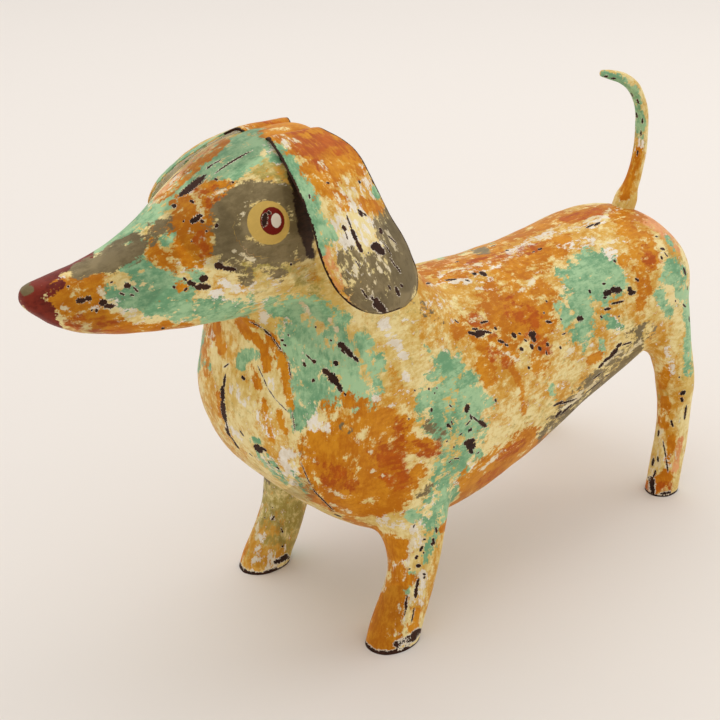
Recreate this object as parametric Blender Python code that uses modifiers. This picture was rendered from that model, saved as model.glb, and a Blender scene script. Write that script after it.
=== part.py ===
"""A dachshund figurine of painted sheet metal: one closed body shell, two sheet ears and a rod tail welded on.

Metres, +Z up. The dog looks along +X, its left side is +Y, and it stands on Z = 0.
The free form is drawn in millimetres for a figure 400 mm long, and UNIT turns that drawing into metres.
"""

import math

import bmesh
import bpy
from mathutils import Vector

# Driving dimensions, in metres
FIGURE_LENGTH = 0.400  # nose tip to rump
DRAWN_LENGTH = 400.0  # length of the figure in the drawing below, in its own millimetres
EAR_SHEET = 0.0012  # thickness of the ear sheet with its paint
WELD_GAP = 0.0003  # gap between pieces that are welded face to face
BODY_VOXEL = 0.0026  # grid of the remesh that fuses the limbs into one shell
BODY_TRIANGLES_KEPT = 0.115  # share of the remeshed triangles that stay

UNIT = FIGURE_LENGTH / DRAWN_LENGTH

LEFT, RIGHT = 1, -1  # the sign of Y on each side

RING_SIDES = 40
STEPS_PER_STATION = 4
EAR_COLUMNS = 8
EAR_STEPS = 2
TAIL_STEPS = 2
BELOW_FLOOR = -12.0  # how far the leg lofts run below the floor before they are cut, drawn mm
LEG_ALLOWANCE = -1.5  # where the legs are first cut off, drawn mm
LEG_SQUARENESS = 2.2
BODY_SMOOTHING = (0.5, 14)  # share and rounds of the smoothing where the limbs meet the trunk

# Torso: upright sections across X.
# x, underside z, z of the widest place, top z, half width, squareness below and above
TORSO = [
    (80, 82, 110, 140, 26, 2.2, 2.0),
    (66, 66, 106, 154, 38, 2.3, 2.1),
    (46, 51, 101, 160, 46, 2.4, 2.2),
    (18, 42, 98, 162, 49, 2.6, 2.2),
    (-18, 40, 98, 161, 47, 2.7, 2.2),
    (-60, 45, 102, 157.5, 44, 2.6, 2.2),
    (-100, 59, 107, 157.5, 43, 2.5, 2.2),
    (-140, 74, 112, 159.5, 45, 2.4, 2.2),
    (-168, 83, 116, 157.5, 44, 2.2, 2.1),
    (-187, 91, 118, 147, 36, 2.0, 2.0),
    (-199, 103, 119, 134, 20, 2.0, 2.0),
]

# Chest and neck: level sections across Z. z, back x, front x, half width, squareness
CHEST = [
    (44, 0, 34, 26, 2.4),
    (52, -8, 48, 36, 2.6),
    (64, -12, 64, 41, 2.7),
    (80, -13, 81, 43.5, 2.8),
    (100, -12, 98, 44.5, 2.9),
    (125, -14, 108, 44.5, 2.9),
    (146, -18, 108, 42, 2.8),
    (158, -10, 107, 39.5, 2.7),
    (170, 3, 105, 37, 2.6),
    (186, 18, 101, 34, 2.4),
    (204, 34, 97, 30, 2.3),
    (222, 46, 92, 25, 2.1),
    (236, 56, 86, 18, 2.0),
]

# Head: upright sections across X, with the same seven values as the torso
HEAD = [
    (46, 205, 215, 228, 10, 2.0, 2.0),
    (54, 192, 214, 240, 22, 2.1, 2.0),
    (66, 184, 214, 247, 29, 2.3, 2.0),
    (80, 179, 214, 250, 32, 2.5, 2.0),
    (94, 177, 213, 249, 33, 2.6, 2.1),
    (108, 176.5, 211, 245, 31, 2.7, 2.1),
    (124, 177, 208, 236.5, 26.5, 2.8, 2.1),
    (142, 179, 204, 227, 21, 2.8, 2.0),
    (160, 182.5, 202, 219.5, 17, 2.6, 2.0),
    (176, 187, 203, 216, 13.5, 2.4, 2.0),
    (191, 194, 205, 215, 10, 2.2, 2.0),
    (204, 204, 208.5, 214, 4.5, 2.0, 2.0),
]

# Legs: level sections. z, x, y, half length, half width
FRONT_LEG = [
    (96, 38, 30, 30, 17),
    (64, 30, 37, 21, 15),
    (48, 32.5, 42, 15, 13),
    (34, 34, 43, 13, 11.5),
    (22, 38, 43, 13.5, 11.5),
    (10, 43.5, 43, 14.5, 11.5),
    (0, 47.5, 43, 15, 11.5),
    (BELOW_FLOOR, 51, 43, 17, 11.5),
]
REAR_LEG = [
    (124, -164, 26, 24, 16),
    (90, -168, 37, 15, 12),
    (71, -170, 42, 12, 11),
    (48, -170.5, 44, 9.8, 9.2),
    (30, -170, 44, 10, 9.2),
    (12, -167, 44, 10.3, 9.5),
    (0, -165, 44, 10, 9.5),
    (BELOW_FLOOR, -163, 44, 9.5, 9.5),
]
# The legs were bent by hand. How far each foot of the right side stands back and out from its pair, drawn mm
FRONT_RIGHT_BENT = (0.0, 9.0)
REAR_RIGHT_BENT = (6.0, 13.0)
STRAIGHT = (0.0, 0.0)

# Tail: x, z, diameter, from inside the rump up to the curled tip
TAIL = [
    (-168, 154, 11),
    (-172, 163, 9.5),
    (-177, 172, 7.8),
    (-180, 185, 7.2),
    (-180, 199, 7.0),
    (-178, 210, 6.8),
    (-171, 221, 6.6),
    (-161, 228, 6.0),
    (-150, 232, 5.0),
    (-143, 234, 3.6),
]

# Left ear, from its root in the crown to its tip: front edge x, y, z, rear edge x, y, z, bulge outwards
EAR = [
    (85, 4, 244, 62, 4, 243, 0.5),
    (88, 9, 249, 61, 9, 248, 1),
    (89.5, 16, 246.5, 58.5, 15, 246.5, 1),
    (91.5, 25, 241, 57, 24, 244, 1.5),
    (93.5, 33.5, 235, 56.5, 33, 240, 2.5),
    (96, 42, 228.5, 57.5, 40, 235, 4),
    (98.5, 49.5, 221.5, 58, 46.5, 228.5, 5.5),
    (100.5, 55, 214.5, 57.5, 52, 221, 6.5),
    (100.5, 59.5, 207.5, 54, 56, 212.5, 6.5),
    (98, 62, 201, 51, 58.5, 204, 5.5),
    (92, 63.5, 194, 49, 60.5, 195.5, 4),
    (84, 63.5, 188.5, 51, 62, 187.5, 2.5),
    (75, 63.5, 184.5, 60, 62.5, 183.5, 1),
]
RIDGE_FORWARD = 0.7  # below 1 the ear's bulge peaks towards its front edge
EAR_SHOULDER = 215  # z above which the ear's bulge tips upwards, drawn mm
EAR_TIP_UP = 0.5  # how strongly it tips

# The enamel's base coat, for every piece: colour, roughness and metallic
BASE_COAT = ((0.74, 0.56, 0.25), 0.5, 0.0)


def remove_start_objects():
    for obj in list(bpy.data.objects):
        bpy.data.objects.remove(obj, do_unlink=True)


def new_collection(name):
    collection = bpy.data.collections.new(name)
    bpy.context.scene.collection.children.link(collection)
    return collection


def paint(name, color, roughness, metallic):
    material = bpy.data.materials.new(name)
    material.use_nodes = True
    shader = material.node_tree.nodes["Principled BSDF"]
    shader.inputs["Base Color"].default_value = (*color, 1.0)
    shader.inputs["Roughness"].default_value = roughness
    shader.inputs["Metallic"].default_value = metallic
    return material


def between(before, start, end, after, t):
    """One point on the Catmull-Rom curve from start to end."""
    return 0.5 * (
        2 * start
        + (end - before) * t
        + (2 * before - 5 * start + 4 * end - after) * t * t
        + (3 * start - before - 3 * end + after) * t**3
    )


def smooth_rows(rows, steps):
    """The stations with smooth ones added in between, each value following its own curve."""
    last = len(rows) - 1
    made = []
    for i in range(last):
        near = [rows[max(i - 1, 0)], rows[i], rows[i + 1], rows[min(i + 2, last)]]
        for k in range(steps):
            made.append([between(*values, k / steps) for values in zip(*near)])
    made.append(list(rows[-1]))
    return made


def ring_point(angle, half_a, half_b, squareness):
    """A point of a superellipse. Squareness 2 is an ellipse, and more is fuller at the corners."""
    c, s = math.cos(angle), math.sin(angle)
    power = 2.0 / squareness
    return (
        half_a * math.copysign(abs(c) ** power, c),
        half_b * math.copysign(abs(s) ** power, s),
    )


def add_loft(mesh, rings):
    """Joins the rings, each a list of points in drawn millimetres, into one closed tube."""
    loops = [[mesh.verts.new(Vector(p) * UNIT) for p in ring] for ring in rings]
    faces = []
    for a, b in zip(loops, loops[1:]):
        for i in range(len(a)):
            j = (i + 1) % len(a)
            faces.append(mesh.faces.new((a[i], a[j], b[j], b[i])))
    faces.append(mesh.faces.new(loops[0]))
    faces.append(mesh.faces.new(loops[-1]))
    bmesh.ops.recalc_face_normals(mesh, faces=faces)


def angles():
    return [2 * math.pi * i / RING_SIDES for i in range(RING_SIDES)]


def add_upright(mesh, stations):
    """A loft of sections that stand across X, such as the torso and the head."""
    rings = []
    for x, low, belt, high, half, square_low, square_high in smooth_rows(stations, STEPS_PER_STATION):
        ring = []
        for a in angles():
            upper = math.sin(a) >= 0
            rise, squareness = (high - belt, square_high) if upper else (belt - low, square_low)
            y, z = ring_point(a, half, rise, squareness)
            ring.append((x, y, belt + z))
        rings.append(ring)
    add_loft(mesh, rings)


def add_level(mesh, stations):
    """A loft of level sections, such as the chest and neck."""
    rings = []
    for z, back, front, half, squareness in smooth_rows(stations, STEPS_PER_STATION):
        middle, reach = (back + front) / 2, (front - back) / 2
        points = [ring_point(a, reach, half, squareness) for a in angles()]
        rings.append([(middle + x, y, z) for x, y in points])
    add_loft(mesh, rings)


def add_leg(mesh, stations, side, bent):
    """A loft down one leg. Side is 1 for the left and -1 for the right, and bent moves the foot back and out."""
    top = stations[0][0]
    rings = []
    for z, x, y, half_x, half_y in smooth_rows(stations, STEPS_PER_STATION):
        points = [ring_point(a, half_x, half_y, LEG_SQUARENESS) for a in angles()]
        share = 1 - z / top
        middle_x, middle_y = x - bent[0] * share, side * (y + bent[1] * share)
        rings.append([(middle_x + dx, middle_y + dy, z) for dx, dy in points])
    add_loft(mesh, rings)


def new_object(name, mesh_data, collection, material):
    obj = bpy.data.objects.new(name, mesh_data)
    collection.objects.link(obj)
    if material:
        obj.data.materials.append(material)
    return obj


def cut_below(body, level, name, cutters):
    """Cuts the legs off flat at this level, in drawn millimetres, with a block that lies under it."""
    depth = 0.5 * FIGURE_LENGTH
    bpy.ops.mesh.primitive_cube_add(size=1.0)
    block = bpy.context.active_object
    block.name = name
    block.scale = (2 * FIGURE_LENGTH, FIGURE_LENGTH, depth)
    block.location = (0, 0, level * UNIT - depth / 2)
    for owner in list(block.users_collection):
        owner.objects.unlink(block)
    cutters.objects.link(block)
    block.hide_render = True
    block.display_type = "WIRE"
    cut = body.modifiers.new(name, "BOOLEAN")
    cut.operation = "DIFFERENCE"
    cut.object = block


def build_body(collection, cutters, material):
    """Torso, chest, head and legs, fused by a remesh and smoothed where they meet."""
    mesh = bmesh.new()
    add_upright(mesh, TORSO)
    add_level(mesh, CHEST)
    add_upright(mesh, HEAD)
    add_leg(mesh, FRONT_LEG, LEFT, STRAIGHT)
    add_leg(mesh, FRONT_LEG, RIGHT, FRONT_RIGHT_BENT)
    add_leg(mesh, REAR_LEG, LEFT, STRAIGHT)
    add_leg(mesh, REAR_LEG, RIGHT, REAR_RIGHT_BENT)
    data = bpy.data.meshes.new("body")
    mesh.to_mesh(data)
    mesh.free()
    body = new_object("body", data, collection, material)

    fuse = body.modifiers.new("fuse", "REMESH")
    fuse.mode = "VOXEL"
    fuse.voxel_size = BODY_VOXEL
    fuse.use_smooth_shade = True

    blend = body.modifiers.new("blend_joins", "SMOOTH")
    blend.factor, blend.iterations = BODY_SMOOTHING

    # The first cut gives the legs a crisp rim that the decimation keeps, and the second makes the soles
    cut_below(body, LEG_ALLOWANCE, "leg_length", cutters)
    fewer = body.modifiers.new("fewer_faces", "DECIMATE")
    fewer.ratio = BODY_TRIANGLES_KEPT
    cut_below(body, 0.0, "flat_soles", cutters)
    return body


def made_mesh(obj):
    """The object's mesh with its modifiers applied."""
    bpy.context.view_layer.update()
    evaluated = obj.evaluated_get(bpy.context.evaluated_depsgraph_get())
    return bpy.data.meshes.new_from_object(evaluated)


def weld_clearance(body, cutters):
    """The body grown by the weld gap, which trims whatever is welded onto it."""
    grown = new_object("weld_clearance", made_mesh(body), cutters, None)
    grow = grown.modifiers.new("grow", "DISPLACE")
    grow.strength = WELD_GAP
    grow.mid_level = 0.0
    grown.hide_render = True
    grown.display_type = "WIRE"
    return grown


def trim(piece, clearance):
    cut = piece.modifiers.new("weld_line", "BOOLEAN")
    cut.operation = "DIFFERENCE"
    cut.object = clearance


def build_tail(clearance, collection, material):
    """A tapered rod, bent into a hook at the tip."""
    curve = bpy.data.curves.new("tail", "CURVE")
    curve.dimensions = "3D"
    curve.bevel_depth = UNIT / 2
    curve.bevel_resolution = 2
    curve.use_fill_caps = True
    rows = smooth_rows(TAIL, TAIL_STEPS)
    spline = curve.splines.new("POLY")
    spline.points.add(len(rows) - 1)
    for point, (x, z, diameter) in zip(spline.points, rows):
        point.co = (x * UNIT, 0, z * UNIT, 1)
        point.radius = diameter
    rod = new_object("tail_rod", curve, collection, None)
    data = made_mesh(rod)
    bpy.data.objects.remove(rod, do_unlink=True)
    mesh = bmesh.new()
    mesh.from_mesh(data)
    # the curve leaves its end caps loose, and they are sewn on where they touch
    bmesh.ops.remove_doubles(mesh, verts=mesh.verts, dist=UNIT * TAIL[-1][2] / 400)
    mesh.to_mesh(data)
    mesh.free()
    data.shade_smooth()
    tail = new_object("tail", data, collection, material)
    trim(tail, clearance)
    return tail


def arch(t):
    """0 at both ends of 0 to 1, and 1 in the middle."""
    return 4 * t * (1 - t)


def build_ear(name, side, clearance, collection, material):
    """One thin sheet between its front and its rear edge, bulging outwards."""
    mesh = bmesh.new()
    grid = []
    for fx, fy, fz, rx, ry, rz, bulge in smooth_rows(EAR, EAR_STEPS):
        front, rear = Vector((fx, fy, fz)), Vector((rx, ry, rz))
        # outwards is down the ear's slope near the root and sideways below it
        outward = Vector((0, fy, EAR_TIP_UP * max(fz - EAR_SHOULDER, 0))).normalized()
        line = []
        for k in range(EAR_COLUMNS + 1):
            t = k / EAR_COLUMNS
            warped = t**RIDGE_FORWARD
            point = front.lerp(rear, t) + outward * bulge * arch(warped)
            line.append(mesh.verts.new((point.x * UNIT, side * point.y * UNIT, point.z * UNIT)))
        grid.append(line)
    for a, b in zip(grid, grid[1:]):
        for k in range(EAR_COLUMNS):
            mesh.faces.new((a[k], a[k + 1], b[k + 1], b[k]))
    bmesh.ops.recalc_face_normals(mesh, faces=mesh.faces)
    data = bpy.data.meshes.new(name)
    mesh.to_mesh(data)
    mesh.free()
    data.shade_smooth()
    ear = new_object(name, data, collection, material)
    sheet = ear.modifiers.new("sheet", "SOLIDIFY")
    sheet.thickness = EAR_SHEET
    sheet.offset = 0
    trim(ear, clearance)
    return ear


def centre_over_floor(pieces, cutters, collection):
    """Puts the origin under the middle of the whole figure, on the floor. The cutters move with the pieces."""
    low, high = [1.0, 1.0], [-1.0, -1.0]
    for piece in pieces:
        data = made_mesh(piece)
        for axis in (0, 1):
            values = [v.co[axis] for v in data.vertices]
            low[axis] = min(low[axis], *values)
            high[axis] = max(high[axis], *values)
        bpy.data.meshes.remove(data)
    stand = bpy.data.objects.new("figure_origin", None)
    collection.objects.link(stand)
    stand.location = (-(low[0] + high[0]) / 2, -(low[1] + high[1]) / 2, 0)
    for obj in [*pieces, *cutters.objects]:
        obj.parent = stand


def main():
    remove_start_objects()
    figure = new_collection("dachshund_figurine")
    cutters = new_collection("cutters")
    cutters.hide_render = True
    enamel = paint("distressed_enamel", *BASE_COAT)
    body = build_body(figure, cutters, enamel)
    clearance = weld_clearance(body, cutters)
    pieces = [
        body,
        build_tail(clearance, figure, enamel),
        build_ear("ear_left", LEFT, clearance, figure, enamel),
        build_ear("ear_right", RIGHT, clearance, figure, enamel),
    ]
    centre_over_floor(pieces, cutters, figure)


main()
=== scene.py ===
import math
import random

import bmesh
import bpy
import numpy as np
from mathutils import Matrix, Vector, noise
from mathutils.bvhtree import BVHTree
from mathutils.kdtree import KDTree


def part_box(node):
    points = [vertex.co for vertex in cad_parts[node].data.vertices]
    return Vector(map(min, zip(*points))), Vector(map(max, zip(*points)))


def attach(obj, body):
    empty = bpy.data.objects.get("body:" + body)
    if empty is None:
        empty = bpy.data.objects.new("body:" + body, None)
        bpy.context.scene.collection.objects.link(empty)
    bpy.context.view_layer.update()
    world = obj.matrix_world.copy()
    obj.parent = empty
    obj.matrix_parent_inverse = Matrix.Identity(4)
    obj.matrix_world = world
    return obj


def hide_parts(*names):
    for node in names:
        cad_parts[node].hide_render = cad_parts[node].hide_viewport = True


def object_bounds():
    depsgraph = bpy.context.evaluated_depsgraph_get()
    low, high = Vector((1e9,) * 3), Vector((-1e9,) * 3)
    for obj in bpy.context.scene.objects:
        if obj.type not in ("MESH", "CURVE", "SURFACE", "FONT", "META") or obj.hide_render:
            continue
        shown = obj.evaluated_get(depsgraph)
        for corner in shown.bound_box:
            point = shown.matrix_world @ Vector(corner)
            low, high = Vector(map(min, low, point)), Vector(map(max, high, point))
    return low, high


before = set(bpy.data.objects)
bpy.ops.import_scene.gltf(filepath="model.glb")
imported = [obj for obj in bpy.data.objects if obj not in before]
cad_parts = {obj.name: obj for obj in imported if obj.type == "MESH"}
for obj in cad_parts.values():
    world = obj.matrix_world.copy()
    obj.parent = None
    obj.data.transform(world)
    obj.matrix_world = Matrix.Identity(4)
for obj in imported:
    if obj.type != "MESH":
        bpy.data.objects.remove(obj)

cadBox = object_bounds()
mm = 0.001

# places are named by their pixel in the 720 pixel photograph, and found on the metal by looking through it
photo = {
    "size": 720, "focal": 1522.0, "sensor": 36.0, "place": (0.4719, 0.4720, 0.43), "turn": 46.6, "down": 25.0,
    "tries": (0.4, 0.01, 60),  # first distance, gap and count of the looks for the metal nearest to a ray
}
turn, down = math.radians(photo["turn"]), math.radians(photo["down"])
lookAhead = Vector((-math.cos(turn) * math.cos(down), -math.sin(turn) * math.cos(down), -math.sin(down)))
lookRight = lookAhead.cross(Vector((0, 0, 1))).normalized()
lookUp = lookRight.cross(lookAhead)
lookFrom = Vector(photo["place"])


def landing(tree, u, v):
    # the point and normal of the metal behind this pixel, or the nearest metal where the pixel just misses it
    half = photo["size"] / 2
    ray = (lookAhead * photo["focal"] + lookRight * (u - half) - lookUp * (v - half)).normalized()
    point, normal, _, _ = tree.ray_cast(lookFrom, ray)
    if point is None:
        first, gap, count = photo["tries"]
        tries = [tree.find_nearest(lookFrom + ray * (first + gap * k)) for k in range(count)]
        point, normal, _, _ = min(tries, key=lambda hit: hit[3])
    return point, normal


def landingLine(tree, flat):
    # the points of the metal behind a run of pixels, which come as u, v, u, v and so on
    return [landing(tree, u, v)[0] for u, v in zip(flat[0::2], flat[1::2])]


def otherSide(p):
    return Vector((p.x, -p.y, p.z))


def pixelSize(point):
    return (point - lookFrom).dot(lookAhead) / photo["focal"]


# mesh helpers
def meshArrays(mesh):
    count = len(mesh.vertices)
    coords, normals = np.empty(count * 3), np.empty(count * 3)
    mesh.vertices.foreach_get("co", coords)
    mesh.vertex_normals.foreach_get("vector", normals)
    edges = np.empty(len(mesh.edges) * 2, dtype=np.int64)
    mesh.edges.foreach_get("vertices", edges)
    return coords.reshape(-1, 3), normals.reshape(-1, 3), edges.reshape(-1, 2)


def putCoords(mesh, coords):
    mesh.vertices.foreach_set("co", coords.ravel())
    mesh.update()


def putField(mesh, name, values):
    field = mesh.attributes.new(name, "FLOAT_VECTOR", "POINT")
    field.data.foreach_set("vector", np.ascontiguousarray(values, dtype=np.float32).ravel())


def treeOf(coords, mesh):
    return BVHTree.FromPolygons([Vector(c) for c in coords], [p.vertices for p in mesh.polygons])


def closeShell(shell, mesh):
    # the finished faces all look outwards and become the mesh
    bmesh.ops.recalc_face_normals(shell, faces=shell.faces)
    shell.to_mesh(mesh)
    shell.free()
    return mesh


def relax(coords, edges, rounds, push, pull):
    # shrink-free smoothing: every round pushes the points towards their neighbours and pulls them back a little more
    a, b = edges.T
    many = len(coords)
    count = np.bincount(edges.ravel(), minlength=many)[:, None]
    for _ in range(rounds):
        for share in (push, pull):
            sums = [np.bincount(a, coords[b, k], many) + np.bincount(b, coords[a, k], many) for k in range(3)]
            coords = coords + share * (np.stack(sums, axis=1) / count - coords)
    return coords


def runLength(points):
    # how far along the line each of its points is
    return np.cumsum(np.concatenate([[0], np.linalg.norm(np.diff(points, axis=0), axis=1)]))


def toLine(coords, line, way=None, reach=None):
    # distance to a line of points, measured across the way that a brush pressed and only within its reach
    best = np.full(len(coords), 1e9)
    across = np.eye(3) if way is None else np.eye(3) - np.outer(way, way)
    for start, end in zip(line, line[1:]):
        start, end = np.array(start), np.array(end)
        run = end - start
        flat = across @ run
        share = np.clip(((coords - start) @ flat) / max(flat @ flat, 1e-12), 0, 1)
        gap = coords - (start + share[:, None] * run)
        far = np.linalg.norm(gap @ across, axis=1)
        if way is not None:
            far[np.abs(gap @ way) > reach] = 1e9
        best = np.minimum(best, far)
    return best


def newPiece(name, mesh, material, node):
    obj = bpy.data.objects.new(name, mesh)
    bpy.context.scene.collection.objects.link(obj)
    mesh.materials.clear()
    mesh.materials.append(material)
    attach(obj, "root")
    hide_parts(node)


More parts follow.
